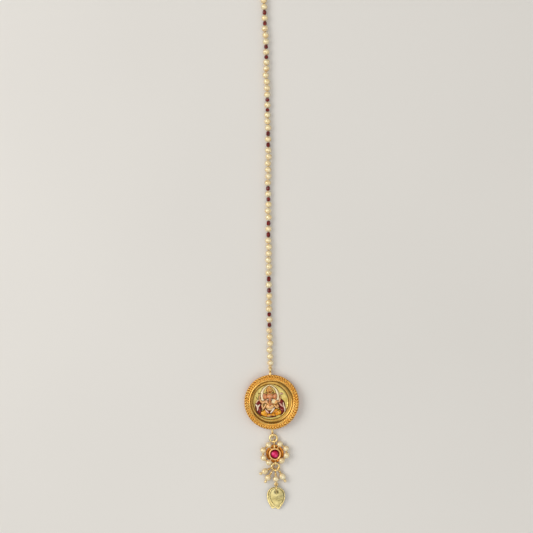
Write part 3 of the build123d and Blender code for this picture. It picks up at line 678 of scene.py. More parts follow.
# upper arms reach out behind the body and hold a goad and a lotus
limb([(-2.70, 0.15, 0.48), (-3.50, -0.12, 0.45), (-4.12, 0.48, 0.37), (-4.45, 1.25, 0.29)], SKIN, 0.8, 14, lift=0.10)
limb([(-4.45, 1.20, 0.28), (-4.50, 1.65, 0.30), (-4.40, 2.00, 0.21)], SKIN, 0.9, 12, lift=0.14)
for k in range(4):
    limb([(-4.75 + 0.17 * k, 1.75, 0.085), (-4.80 + 0.20 * k, 2.15 - 0.05 * abs(k - 1.5), 0.07)], SKIN, 1.0, 8, lift=0.20)
limb([(-5.20, 0.95, 0.10), (-4.92, 1.70, 0.10), (-4.70, 2.65, 0.10), (-4.62, 3.25, 0.08)], OLIVE, 1.0, 10, lift=0.22)
limb([(-5.12, 2.95, 0.08), (-4.72, 3.18, 0.17), (-4.30, 2.88, 0.06)], CROWN, 1.0, 10, lift=0.22)
limb([(-5.72, 1.75, 0.10), (-5.50, 1.40, 0.15), (-5.15, 1.10, 0.08)], OLIVE, 1.0, 10, lift=0.08)
limb([(2.05, 0.25, 0.48), (2.68, 0.10, 0.43), (3.00, 0.78, 0.36), (3.18, 1.38, 0.28)], SKIN, 0.8, 14, lift=0.10)
limb([(3.16, 1.32, 0.27), (3.28, 1.78, 0.29), (3.34, 2.05, 0.19)], SKIN, 0.9, 12, lift=0.14)
for k in range(4):
    limb([(3.04 + 0.16 * k, 1.85, 0.08), (2.98 + 0.21 * k, 2.25 - 0.04 * abs(k - 1.5), 0.065)], SKIN, 1.0, 8, lift=0.20)
for k in range(7):
    a = math.radians(90 + (k - 3) * 27)
    bx, by = 3.56 + 0.10 * math.cos(a), 2.85
    limb([(bx, by, 0.11), (bx + 0.34 * math.cos(a), by + 0.34 * math.sin(a), 0.155), (bx + 0.62 * math.cos(a), by + 0.62 * math.sin(a), 0.03)],
         BLUSH if k % 2 else WHITE, 0.9, 8, lift=0.16)
bead(3.56, 2.82, 0.20, OLIVE, 0.26, 0.9)
limb([(3.54, 2.75, 0.06), (3.42, 2.30, 0.055), (3.52, 1.70, 0.05)], OLIVE, 1.0, 8, lift=0.30)

# folded legs in a pleated cloth, with round knees
limb([(-0.70, -3.45, 0.84), (-1.90, -3.75, 1.00), (-2.90, -4.10, 0.92)], DHOTI, 0.74, 22, 9)
limb([(0.10, -3.38, 0.88), (1.30, -3.45, 1.04), (2.30, -3.62, 0.96)], DHOTI, 0.74, 22, 9)
limb([(-2.95, -4.80, 0.42), (-1.90, -4.98, 0.50), (-0.80, -4.86, 0.50), (0.10, -4.62, 0.38)], DHOTI, 0.85, 16, 9, lift=0.16)
limb([(2.30, -4.56, 0.40), (1.30, -4.74, 0.50), (0.40, -4.72, 0.48), (-0.30, -4.62, 0.34)], DHOTI, 0.85, 16, 9, lift=0.12)
egg(-2.98, -4.22, 1.05, 0.88, 0.84, DHOTI, -24, 0.08)
egg(2.48, -3.78, 1.16, 1.02, 0.90, DHOTI, 16, 0.08)
legs = surface()
for k in range(5):      # pleats that fan over each thigh
    laid(legs, [(-0.80 - 0.30 * k, -3.05 - 0.10 * k, 0.035), (-1.02 - 0.30 * k, -3.60 - 0.10 * k, 0.065), (-1.00 - 0.31 * k, -4.35 - 0.02 * k, 0.035)], DHOTI, 0.012)
    laid(legs, [(0.30 + 0.27 * k, -2.90 - 0.05 * k, 0.035), (0.52 + 0.26 * k, -3.45 - 0.05 * k, 0.065), (0.50 + 0.28 * k, -4.15, 0.035)], DHOTI, 0.012)
for x0, y0, turn in ((-2.98, -4.22, 1), (2.48, -3.78, -1)):     # folds that curve round each knee
    for k, reach in enumerate((0.90, 0.64, 0.38)):
        rows = []
        for t in np.linspace(-0.95, 0.95, 7):
            a = (0.15 if turn > 0 else math.pi - 0.15) + turn * t
            rows.append((x0 + reach * math.cos(a) * 1.05, y0 + reach * math.sin(a) * 0.82, 0.068 - 0.040 * abs(t)))
        laid(legs, rows, DHOTI, 0.010)
for k in range(4):      # the folds of the cloth along each shin
    laid(legs, [(-2.70 + 0.62 * k, -4.70 - 0.04 * k, 0.03), (-2.45 + 0.62 * k, -4.98 + 0.02 * k, 0.05), (-2.10 + 0.62 * k, -5.12 + 0.05 * k, 0.03)], DHOTI, 0.010)
laid(legs, [(0.98, -3.72, 0.08), (1.24, -4.40, 0.15), (1.42, -5.08, 0.09)], MAROON, 0.0, 9, 10)
laid(legs, [(-1.44, -3.98, 0.07), (-1.64, -4.56, 0.12), (-1.76, -5.20, 0.07)], MAROON, 0.0, 9, 10)
# a dark line of painted shade in the fold over the right knee
laid(legs, [(1.66, -3.50, 0.05), (2.10, -3.16, 0.10), (2.74, -3.20, 0.09), (3.12, -3.66, 0.05)], SHADE_LINE, 0.02)
# foot and anklet
limb([(-0.10, -4.98, 0.26), (-0.66, -5.10, 0.30), (-1.14, -5.16, 0.29), (-1.40, -5.14, 0.21)], SKIN, 0.85, 14, lift=0.46)
for k in range(5):
    bead(-1.56 + 0.03 * abs(k - 2), -5.30 + 0.085 * k, 0.07 + 0.006 * k, SKIN, 0.56, 1.0)
foot = surface()
laid(foot, [(-0.24, -4.68, 0.05), (-0.32, -5.00, 0.075), (-0.28, -5.32, 0.05)], CROWN, 0.02)

# body: belly, chest and waist cloth
egg(-0.62, -1.72, 1.66, 1.34, 0.98, SKIN, 0, -0.05)
egg(-0.55, -0.45, 1.78, 0.98, 0.80, SKIN, 0, -0.05)
bead(-0.64, -2.02, 0.10, DARK, 0.94, 0.5)
limb([(-2.28, -2.72, 0.17), (-1.80, -3.30, 0.33), (-1.14, -3.92, 0.26)], PETAL, 0.9, 14, lift=0.70)
limb([(1.02, -2.12, 0.18), (0.48, -2.96, 0.38), (-0.30, -3.92, 0.28)], WHITE, 0.9, 16, lift=0.72)
limb([(-1.66, -2.42, 0.14), (-1.02, -2.74, 0.27), (-0.26, -2.72, 0.27), (0.44, -2.34, 0.14)], CREAM, 0.9, 14, lift=0.80)
limb([(-0.98, -3.10, 0.16), (-0.82, -3.52, 0.26), (-0.72, -4.05, 0.15)], MAROON, 0.9, 12, lift=0.72)
# sacred thread across the chest and a bead necklace
body = surface()
laid(body, [(0.98, 0.10, 0.05), (0.62, -0.72, 0.065), (0.02, -1.32, 0.065), (-0.80, -1.74, 0.065), (-1.62, -2.04, 0.05)], WHITE, 0.02, 9)
for side in (-1, 1):    # the chest's two soft folds
    laid(body, [(-0.62 + side * 0.30, -0.98, 0.03), (-0.62 + side * 0.78, -1.12, 0.05), (-0.62 + side * 1.22, -0.86, 0.03)], FACE, 0.0)
for k in range(17):
    a = math.radians(196 + 148 * k / 16)
    x, y = -0.55 + 1.36 * math.cos(a), -0.18 + 1.02 * math.sin(a)
    z = body.ray_cast(Vector((x, y, 9.0)), Vector((0, 0, -1)))[0].z
    plaque.add(*ball((x, y, z + 0.03), (0.105, 0.105, 0.105), (0, 0, 1), 10, 16), CROWN)
bead(-0.55, -1.40, 0.20, MAROON, 0.92, 0.8)
# the front right arm is raised in blessing
limb([(-2.38, 0.16, 0.50), (-3.14, -0.30, 0.44), (-3.48, -1.30, 0.38), (-3.24, -2.38, 0.44)], SKIN, 0.9, 16, lift=0.22)
limb([(-3.10, -2.46, 0.46), (-2.62, -1.86, 0.42), (-2.20, -1.04, 0.36), (-1.98, -0.36, 0.31)], SKIN, 0.95, 16, lift=0.38)
egg(-1.88, 0.02, 0.42, 0.50, 0.24, HAND, -8, 0.66)
for k in range(4):
    limb([(-2.16 + 0.18 * k, 0.28, 0.104), (-2.22 + 0.20 * k, 0.82 - 0.05 * abs(k - 1.4), 0.086)], HAND, 1.0, 8, lift=0.70)
limb([(-1.56, -0.10, 0.09), (-1.34, 0.20, 0.08)], HAND, 1.0, 8, lift=0.70)
limb([(-2.52, -0.66, 0.07), (-2.14, -0.54, 0.11), (-1.74, -0.70, 0.07)], CROWN, 1.0, 8, lift=0.68)
limb([(-3.84, -0.84, 0.08), (-3.36, -0.72, 0.13), (-2.90, -0.90, 0.08)], CROWN, 1.0, 8, lift=0.54)
# the front left arm holds a bowl of sweets
limb([(1.25, 0.00, 0.50), (1.98, -0.58, 0.53), (2.28, -1.45, 0.50), (2.05, -2.02, 0.48)], SKIN, 0.9, 16, lift=0.18)
limb([(2.05, -2.05, 0.48), (1.58, -1.68, 0.43), (1.20, -1.28, 0.37), (0.95, -0.98, 0.31)], SKIN, 0.95, 16, lift=0.36)
limb([(1.76, -0.95, 0.08), (2.18, -0.80, 0.13), (2.72, -1.02, 0.08)], CROWN, 1.0, 8, lift=0.56)
egg(1.12, -0.38, 1.20, 0.66, 0.46, CROWN, 0, 0.64)
limb([(0.02, -0.12, 0.08), (0.50, -0.42, 0.11), (1.12, -0.52, 0.12), (1.76, -0.40, 0.11), (2.22, -0.08, 0.08)], HALO, 1.0, 8, lift=1.00)
# painted highlight: the sweets on the left side are pale cream, those on the right orange
for dx, dy, r in ((-0.78, 0.04, 0.38), (-0.26, -0.02, 0.44), (0.34, 0.00, 0.42), (0.80, 0.06, 0.34), (-0.56, 0.50, 0.42), (0.02, 0.54, 0.44), (0.54, 0.46, 0.36), (-0.28, 0.92, 0.32), (0.20, 0.88, 0.28)):
    bead(1.10 + dx, -0.06 + dy, r, (CREAM if dx < 0.2 else SWEET), 0.80, 0.85)

# head: ears, face, trunk, tusks, eyes, then the crown
egg(-2.42, 1.98, 0.84, 1.16, 0.36, EAR, 14, 0.12)
egg(-2.30, 1.92, 0.46, 0.76, 0.36, FACE, 14, 0.18)
egg(1.22, 2.05, 0.84, 1.16, 0.36, EAR, -12, 0.12)
egg(1.12, 1.98, 0.46, 0.76, 0.36, FACE, -12, 0.18)
limb([(-2.98, 1.12, 0.07), (-2.62, 0.88, 0.10), (-2.18, 0.95, 0.07)], CROWN, 1.0, 8, lift=0.40)
limb([(1.78, 1.18, 0.07), (1.42, 0.94, 0.10), (0.98, 1.00, 0.07)], CROWN, 1.0, 8, lift=0.40)
egg(-0.62, 2.08, 1.24, 1.14, 0.95, FACE, 0, 0.02)
egg(-1.16, 2.62, 0.60, 0.44, 0.62, FACE, 0, 0.24)
egg(-0.08, 2.62, 0.60, 0.44, 0.62, FACE, 0, 0.24)
limb([(-0.61, 1.98, 0.52, 0.52), (-0.60, 1.38, 0.52, 0.64), (-0.64, 0.74, 0.45, 0.68), (-0.74, 0.10, 0.38, 0.68), (-0.72, -0.44, 0.32, 0.70),
      (-0.36, -0.78, 0.27, 0.72), (0.06, -0.66, 0.22, 0.78), (0.24, -0.28, 0.18, 0.86)], FACE, 0.85, 16, 8)
head = surface()
for k in range(7):      # soft wrinkles across the trunk
    y = 1.42 - 0.30 * k
    laid(head, [(-0.94 + 0.015 * k, y + 0.05, 0.025), (-0.64 - 0.015 * k, y - 0.05, 0.045), (-0.34 - 0.02 * k, y + 0.05, 0.025)], EAR, 0.0, 5, 6)
limb([(-1.12, 1.24, 0.12), (-1.44, 0.90, 0.11), (-1.66, 0.84, 0.05)], WHITE, 1.0, 10, lift=0.54)
limb([(-0.12, 1.24, 0.12), (0.18, 0.94, 0.11), (0.34, 0.92, 0.06)], WHITE, 1.0, 10, lift=0.54)
for ex in (-1.30, 0.06):
    inward = 1 if ex < -0.6 else -1
    egg(ex, 2.04, 0.22, 0.11, 0.10, WHITE, 8 * inward, 0.78)
    bead(ex + 0.02 * inward, 2.04, 0.085, DARK, 0.84, 0.9)
    laid(head, [(ex - 0.28, 2.22, 0.035), (ex, 2.34, 0.055), (ex + 0.28, 2.22, 0.035)], DARK, 0.01, 5, 6)
for k in range(3):      # forehead mark
    laid(head, [(-1.02 + 0.04 * k, 2.54 + 0.12 * k, 0.035), (-0.62, 2.48 + 0.12 * k, 0.045), (-0.22 - 0.04 * k, 2.54 + 0.12 * k, 0.035)], WHITE, 0.01, 5, 6)
bead(-0.62, 2.58, 0.09, MAROON, 1.02, 0.9)
# crown: band, four tiers and a bud finial
for x0, y0, rx, ry, rz, up in ((-0.68, 3.70, 1.62, 0.70, 0.84, 0.03), (-0.72, 4.38, 1.36, 0.60, 0.74, 0.03),
                               (-0.76, 4.96, 1.04, 0.50, 0.60, 0.03), (-0.80, 5.46, 0.64, 0.44, 0.46, 0.05)):
    egg(x0, y0, rx, ry, rz, CROWN, 0, up)
    # each tier sits on a dark outline of painted shade
    egg(x0, y0 - 0.02, rx + 0.08, ry + 0.08, rz, SHADE_LINE, 0, up - 0.14)
limb([(-2.24, 2.90, 0.17, 0.24), (-1.50, 3.10, 0.25, 0.60), (-0.66, 3.17, 0.27, 0.76), (0.18, 3.10, 0.25, 0.60), (0.94, 2.90, 0.17, 0.24)], CROWN, 1.0, 12)
bead(-0.82, 5.90, 0.20, HALO, 0.12, 1.0)
for y, w, z, count in ((4.05, 1.42, 0.52, 12), (4.69, 1.18, 0.44, 10), (5.22, 0.84, 0.34, 7)):
    for k in range(count):
        u = -1 + 2 * k / (count - 1)
        bead(-0.73 + u * w, y + 0.05 * (1 - u * u), 0.105, HALO, z * math.sqrt(max(0.05, 1 - 0.75 * u * u)) + 0.10, 1.0)
for k in range(14):
    u = -1 + 2 * k / 13
    bead(-0.66 + u * 1.52, 2.95 + 0.20 * (1 - u * u), 0.095, HALO, 0.96 - 0.56 * u * u, 1.0)
for dx, w in ((-1.02, 0.62), (0.0, 0.88), (1.02, 0.62)):
    egg(-0.68 + dx, 3.66, 0.21, 0.28, 0.15, MAROON if dx == 0 else OLIVE, 0, w)

# the sunk halves of the figure end inside the disc
for part in plaque.v[1:]:
    part[:, 2] = np.maximum(part[:, 2], 1.05)
plaque.make("plaque_relief", "enamel", "deity_plaque")

# ------------------------------------------------------------------ string of pearls
string_nodes = sorted(n for n in NODES if n.startswith("pearl_string"))
garnet_nodes = sorted(n for n in NODES if n.startswith("garnet"))
pearls = []             # (centre, radius) from the hook's end of each CAD string
for node in string_nodes:
    p = cad_points(node)
    cap = p[p[:, 2] > p[:, 2].max() - 0.20]
    cap = cap[np.argsort(cap[:, 1])]
    breaks = np.where(np.diff(cap[:, 1]) > 0.5)[0] + 1
    own = []
    for group in np.split(cap, breaks):
        g = group.mean(0)
        near = p[(abs(p[:, 1] - g[1]) < 0.9) & (np.hypot(p[:, 0] - g[0], p[:, 2] - (p[:, 2].max() / 2)) > 0.7)]
        c, r = sphere_fit(near)
        own.append((c, r))
    pearls.append(own)
every = [c for own in pearls for c, r in own]
k = 0
for node, own in zip(string_nodes, pearls):
    string = Build()
    for c, r in own:
        before, after = every[max(k - 1, 0)], every[min(k + 1, len(every) - 1)]
        along = unit(after - before) if k else unit(after - c)
        off = 0.05 * np.array((math.sin(k * 2.31), math.cos(k * 1.73), 0.4 * math.sin(k * 3.1)))
        size = r * (0.997 + 0.003 * math.sin(k * 4.7))
        longer = 1.0 + 0.012 * math.sin(k * 2.9)
        string.add(*ball(c, (size, size, r * min(1.0, longer)), unit(along + off), 22, 32, 0.022, k * 0.37, 0.040, 0.20), PEARL)
        if k < len(every) - 1:
            string.add(*tube([c, c + (after - c) * 0.5, after - unit(after - c) * 1.22], 0.14, 10, caps=False), THREAD)
            string.add(*helix(c + unit(after - c) * 1.0, after - unit(after - c) * 1.24, 0.10, 0.07, np.linalg.norm(after - c) / 0.55 - 3.4, 10, 6), THREAD)
        k += 1
    if node == string_nodes[0]:
        c = own[0][0]
        eye = np.array((-0.50, 12.51, 1.19))
        string.add(*ring(eye, 0.56, 0.11, 40, 10), GOLD_WIRE)
        string.add(*helix(eye + (0, 0.60, 0), c - (0, 1.06, 0), 0.16, 0.09, 4, 14, 8), GOLD_WIRE)
    if node == string_nodes[-1]:
        c = own[-1][0]
        lo, hi = cad_box_mm(node)
        eye = np.array((c[0], hi[1] - 0.15 - 0.65, 1.19))
        string.add(*ring(eye, 0.65, 0.11, 40, 10), GOLD_WIRE)
        string.add(*tube([c + (0, 1.0, 0), eye - (0, 0.60, 0)], 0.14, 10), GOLD_WIRE)
    string.make(node.replace("pearl_string", "string_pearls"), "pearl", node)

# ------------------------------------------------------------------ garnets: cut drums with a drilled hole
for i, node in enumerate(garnet_nodes):
    c = cad_centre(node)
    below = max((p for p in every if p[1] < c[1]), key=lambda p: p[1])
    above = min((p for p in every if p[1] > c[1]), key=lambda p: p[1])
    d = unit(above - below)
    half = (np.linalg.norm(above - below) - 2 * 1.19 - 0.10) / 2
    x = np.array((d[1], -d[0], 0.0))
    y = np.array((0.0, 0.0, 1.0))
    R, sides = 0.735, 8
    rows = ((-half, 0.24), (-half, 0.50 * R), (-half * 0.86, 0.80 * R), (-half * 0.46, R), (half * 0.46, R), (half * 0.86, 0.80 * R), (half, 0.50 * R), (half, 0.24))
    turn = i * 0.61
    verts = np.vstack([c + d * h + r * (x * math.cos(turn + j * TAU / sides + (0.39 if 2 < q < 5 else 0.39)) + y * math.sin(turn + j * TAU / sides + 0.39))
                       for q, (h, r) in enumerate(rows) for j in range(sides)])
    faces = grid_faces(len(rows), sides, True, True)
    Build().add(verts, faces, GARNET, smooth=False).make(node + "_cut", "garnet", node)

# ------------------------------------------------------------------ hair hook: one bent wire with an eye and a rounded tip
hook = Build()
lo, hi = cad_box_mm("hair_hook")
hx = every[-1][0]
eye_y = lo[1] + 0.95 + 0.42
hz = 0.95 + 0.42
bend_y = hi[1] - 0.42 - 1.90
hook.add(*ring((hx, eye_y, hz), 0.95, 0.40, 56, 16, heading=90, start=-math.pi * 0.30, sweep=TAU * 0.985), GOLD_BRIGHT)
line = [(hx, eye_y + 0.95 * math.cos(0.9), hz - 0.95 * math.sin(0.9)), (hx, eye_y + 1.2, 0.62), (hx, eye_y + 2.4, 0.42), (hx, eye_y + 5.0, 0.42), (hx, bend_y - 1.5, 0.42), (hx, bend_y, 0.42)]
line += [(hx + 1.9 - 1.9 * math.cos(a), bend_y + 1.9 * math.sin(a), 0.42) for a in np.linspace(0, math.pi, 13)[1:]]
line += [(hx + 3.8, bend_y - 2.5, 0.42), (hx + 3.8, bend_y - 5.0, 0.42), (hx + 4.3, bend_y - 6.1, 0.42)]
hook.add(*tube(smooth_path(line, 8), 0.40, 16), GOLD_BRIGHT)
hook.add(*helix((hx, eye_y + 1.35, 0.62), (hx, eye_y + 2.6, 0.47), 0.34, 0.12, 5, 16, 8), GOLD_WIRE)
hook.make("hair_hook_wire", "gold", "hair_hook")

# ------------------------------------------------------------------ jump rings, with the cut a little open
for name, start in (("jump_ring_upper", 2.30), ("jump_ring_lower", 0.60)):
    c = cad_centre(name)
    lo, hi = cad_box_mm(name)
    wire = (hi[2] - lo[2]) / 2
    r = (hi[0] - lo[0]) / 2 - wire
    jr = Build()
    jr.add(*ring(c, r, wire * 1.10, 72, 18, start=start, sweep=TAU * 0.992, bulge=lambda t: 0.10 * np.exp(-(t / 0.035) ** 2)), GOLD_WIRE)
    jr.make(name + "_wire", "gold", name)

# ------------------------------------------------------------------ ruby flower
fx, fy = cad_centre("ruby")[:2]
flower = Build()
plate = [(0, 0.0), (3.05, 0.0), (3.24, 0.05), (3.29, 0.14), (3.24, 0.23), (3.05, 0.28), (2.62, 0.28), (2.50, 0.34), (2.38, 0.52), (2.30, 0.70), (2.24, 1.0), (2.24, 1.55)]
flower.add(*lathe(plate, 128, (fx, fy)), GOLD_SATIN)
lip = [(2.24, 1.55)] + [(1.965 + 0.305 * math.cos(a) * 1.0, 1.94 + 0.30 * math.sin(a)) for a in np.linspace(-0.5, math.pi + 0.6, 20)] + [(1.66, 1.60), (1.64, 1.0), (0, 1.0)]
flower.add(*lathe(lip, 128, (fx, fy)), GOLD_BEZEL)
for (x, y), side in (((0.94, -14.80), 1), ((1.41, -22.64), -1)):
    flower.add(*ring((x, y, 1.2), 0.76, 0.34, 56, 16, heading=90), GOLD_WIRE)
    a = (fx + (x - fx) * 0.5, fy + side * 2.1, 1.2)
    b = (x, y - side * 0.86, 1.2)
    flower.add(*tube([a, ((a[0] + b[0]) / 2, (a[1] + b[1]) / 2, 1.2), b], (0.36, 0.31, 0.31), 16), GOLD_WIRE)
fp = [cad_centre("flower_pearl_%d" % (i + 1)) for i in range(8)]
for group in (fp[:4], fp[4:]):
    # the wire bows outward a little between the pearls, and its ends go back to the bezel
    pts = []
    for a, b in zip(group, group[1:]):
        mid = (a + b) / 2
        out = unit(np.array((mid[0] - fx, mid[1] - fy, 0)))
        pts += [a, mid + out * 0.16]
    pts.append(group[-1])
    z = group[0][2]
    ends = []
    for e in (group[0], group[-1]):
        d = unit(np.array((e[0] - fx, e[1] - fy, 0.0)))
        ends.append(np.array((fx, fy, z)) + d * 2.1)
    flower.add(*tube(smooth_path(pts, 10), 0.19, 12), GOLD_WIRE)
    for e, foot in zip((group[0], group[-1]), ends):
        flower.add(*tube([foot, (foot + e) / 2, e], 0.19, 12), GOLD_WIRE)
        flower.add(*ball(foot, 0.30, (0, 0, 1), 10, 16), GOLD_WIRE)
    for a, b in zip(group, group[1:]):
        mid = (a + b) / 2
        out = unit(np.array((mid[0] - fx, mid[1] - fy, 0)))
        gap = np.linalg.norm(b - a) / 2 - 1.18
        along = unit(b - a)
        reach = gap + 0.20
        flower.add(*helix(mid + out * 0.12 - along * reach, mid + out * 0.12 + along * reach, 0.22, 0.12, max(2.0, reach * 2 / 0.24), 16, 8), GOLD_WIRE)
flower.make("flower_mount", "gold", "flower_setting")
for i, c in enumerate(fp):
    a = fp[i - 1] if i % 4 else fp[i + 1]
    b = Build()
    s = 1.18 * (0.985 + 0.012 * math.sin(i * 2.2))
    b.add(*ball(c, (s, s, s * 0.995), unit(c - a if i % 4 else a - c) + 0.05 * np.array((math.sin(i), math.cos(i), 0)), 26, 36, 0.05, 3.0 + i, 0.05, 0.21), PEARL)
    b.make("flower_pearl_%d_nacre" % (i + 1), "pearl", "flower_pearl_%d" % (i + 1))

RUBY = cabochon("ruby_stone", (fx, fy), 1.6)
gem = Build()
girdle = 1.59
dome_rows = [(0, 1.06), (1.30, 1.06), (1.50, 1.25), (girdle, 1.62), (1.56, 1.80)] + [(1.56 * math.cos(a), 1.80 + 0.86 * math.sin(a)) for a in np.linspace(0.12, math.pi / 2 - 0.12, 12)] + [(0, 2.665)]
gem.add(*lathe(dome_rows, 72, (fx, fy)), RUBY)
gem.make("ruby_cabochon", "ruby", "ruby")

# ------------------------------------------------------------------ pearl drops on wire loops
low_c = cad_centre("jump_ring_lower")
LINK_Z = low_c[2]


def eye_of(node):
    """Centre of a pin's upright eye: the highest points of the wire stand over it."""
    p = cad_points(node)
    t = p[p[:, 2] > p[:, 2].max() - 0.02]
    return np.array(((t[:, 0].min() + t[:, 0].max()) / 2, (t[:, 1].min() + t[:, 1].max()) / 2, LINK_Z))


def drop(pin, pearl, end_ball, seed):
    e = eye_of(pin)
    c = cad_centre(pearl)
    c[2] = LINK_Z
    d = unit(c - e)
    lo, hi = cad_box_mm(pearl)
    reach = np.linalg.norm(c - e)
    head = math.degrees(math.atan2(d[1], d[0]))
    half_w = (hi[2] - lo[2]) / 2
    half_l = DROP_HALF[pearl]
    wire = Build()
    wire.add(*ring(e, 0.66, 0.20, 44, 12, heading=head), GOLD_WIRE)
    neck = 0.62
    wire.add(*tube([e + d * neck, e + d * (reach - half_l - 0.02)], 0.20, 12), GOLD_WIRE)
    wire.add(*tube([c - d * (half_l + 0.05), c, c + d * (half_l + 0.05)], 0.17, 10), GOLD_WIRE)
    start, stop = max(0.80, reach - half_l - 0.85), reach - half_l - 0.10
    wire.add(*helix(e + d * start, e + d * stop, 0.30, 0.135, max(2.0, (stop - start) / 0.26), 16, 8), GOLD_WIRE)
    # a small cup where the wire meets the pearl
    cup = c - d * (half_l + 0.02)
    wire.add(*ball(cup, (0.36, 0.36, 0.10), d, 8, 20), GOLD_WIRE)
    if end_ball:
        wire.add(*ball(c + d * (half_l + 0.02), (0.34, 0.34, 0.09), d, 8, 20), GOLD_WIRE)
        wire.add(*ball(c + d * (half_l + 0.49), 0.54, d, 16, 24), GOLD_BALL)
    body = Build()
    body.add(*ball(c, (half_w * 0.985, half_w * 0.985, half_l * 0.985), d, 28, 36, 0.06, seed, 0.04, 0.21), PEARL)
    body.make(pearl + "_nacre", "pearl", pearl)
    return wire, e, c, d


DROP_HALF = {"drop_pearl_left": 1.31, "drop_pearl_lower_left": 1.23, "drop_pearl_right": 1.43, "link_pearl": 1.17}
for i, name in enumerate(("left", "lower_left", "right")):
    wire, e, c, d = drop("drop_pin_" + name, "drop_pearl_" + name, True, 11.0 + i * 1.7)
    wire.make("drop_wire_" + name, "gold", "drop_pin_" + name)
wire, e, c, d = drop("link_wire", "link_pearl", False, 17.3)
lo, hi = cad_box_mm("link_wire")
eye = np.array((1.68, lo[1] + 0.18 + 0.54, LINK_Z))
wire.add(*tube([c + d * 1.15, eye - d * 0.54], 0.24, 12), GOLD_WIRE)
wire.add(*ring(eye, 0.56, 0.205, 40, 12), GOLD_WIRE)
wire.make("link_wire_loops", "gold", "link_wire")

# ------------------------------------------------------------------ leaf ring and leaves
c = cad_centre("leaf_ring")
lo, hi = cad_box_mm("leaf_ring")
lr = Build()
lr.add(*ring(c, (hi[1] - lo[1]) / 2 - 0.25, 0.245, 64, 14, heading=90, start=1.9, sweep=TAU * 0.992), GOLD_WIRE)
lr.make("leaf_ring_wire", "gold", "leaf_ring")

LEAF_W, LEAF_L, DOWN, SIDE_R, HOLE_R = 6.05, 8.40, 1.78, 6.18, 0.50


def leaf_outline(n):
    """The petal's edge, evenly spaced, hole at the origin and tip towards -Y."""
    half, wide = LEAF_W / 2, DOWN - LEAF_W / 2
    tip, fall = DOWN - LEAF_L, math.radians(42.2)
    cx = half - SIDE_R
    pts = [(half * math.sin(a), wide + half * math.cos(a)) for a in np.linspace(0, math.pi / 2, 60)]
    pts += [(cx + SIDE_R * math.cos(a), wide - SIDE_R * math.sin(a)) for a in np.linspace(0, fall, 60)[1:]]
    qx, qy = pts[-1]
    nx = min(0.55, qx * 0.6)
    pts += [(qx + (nx - qx) * t, qy + (tip + 0.16 - qy) * t) for t in np.linspace(0, 1, 12)[1:]]
    pts += [(nx * math.cos(a), tip + 0.16 - 0.16 * math.sin(a)) for a in np.linspace(0, math.pi / 2, 8)[1:]]
    right = np.array(pts)
    left = right[::-1][1:-1] * (-1, 1)
    loop = np.vstack([right, left])
    seg = np.linalg.norm(np.roll(loop, -1, 0) - loop, axis=1)
    s = np.r_[0, np.cumsum(seg)]
    loop = np.vstack([loop, loop[:1]])
    t = np.linspace(0, s[-1], n, endpoint=False)
    return np.c_[np.interp(t, s, loop[:, 0]), np.interp(t, s, loop[:, 1])]


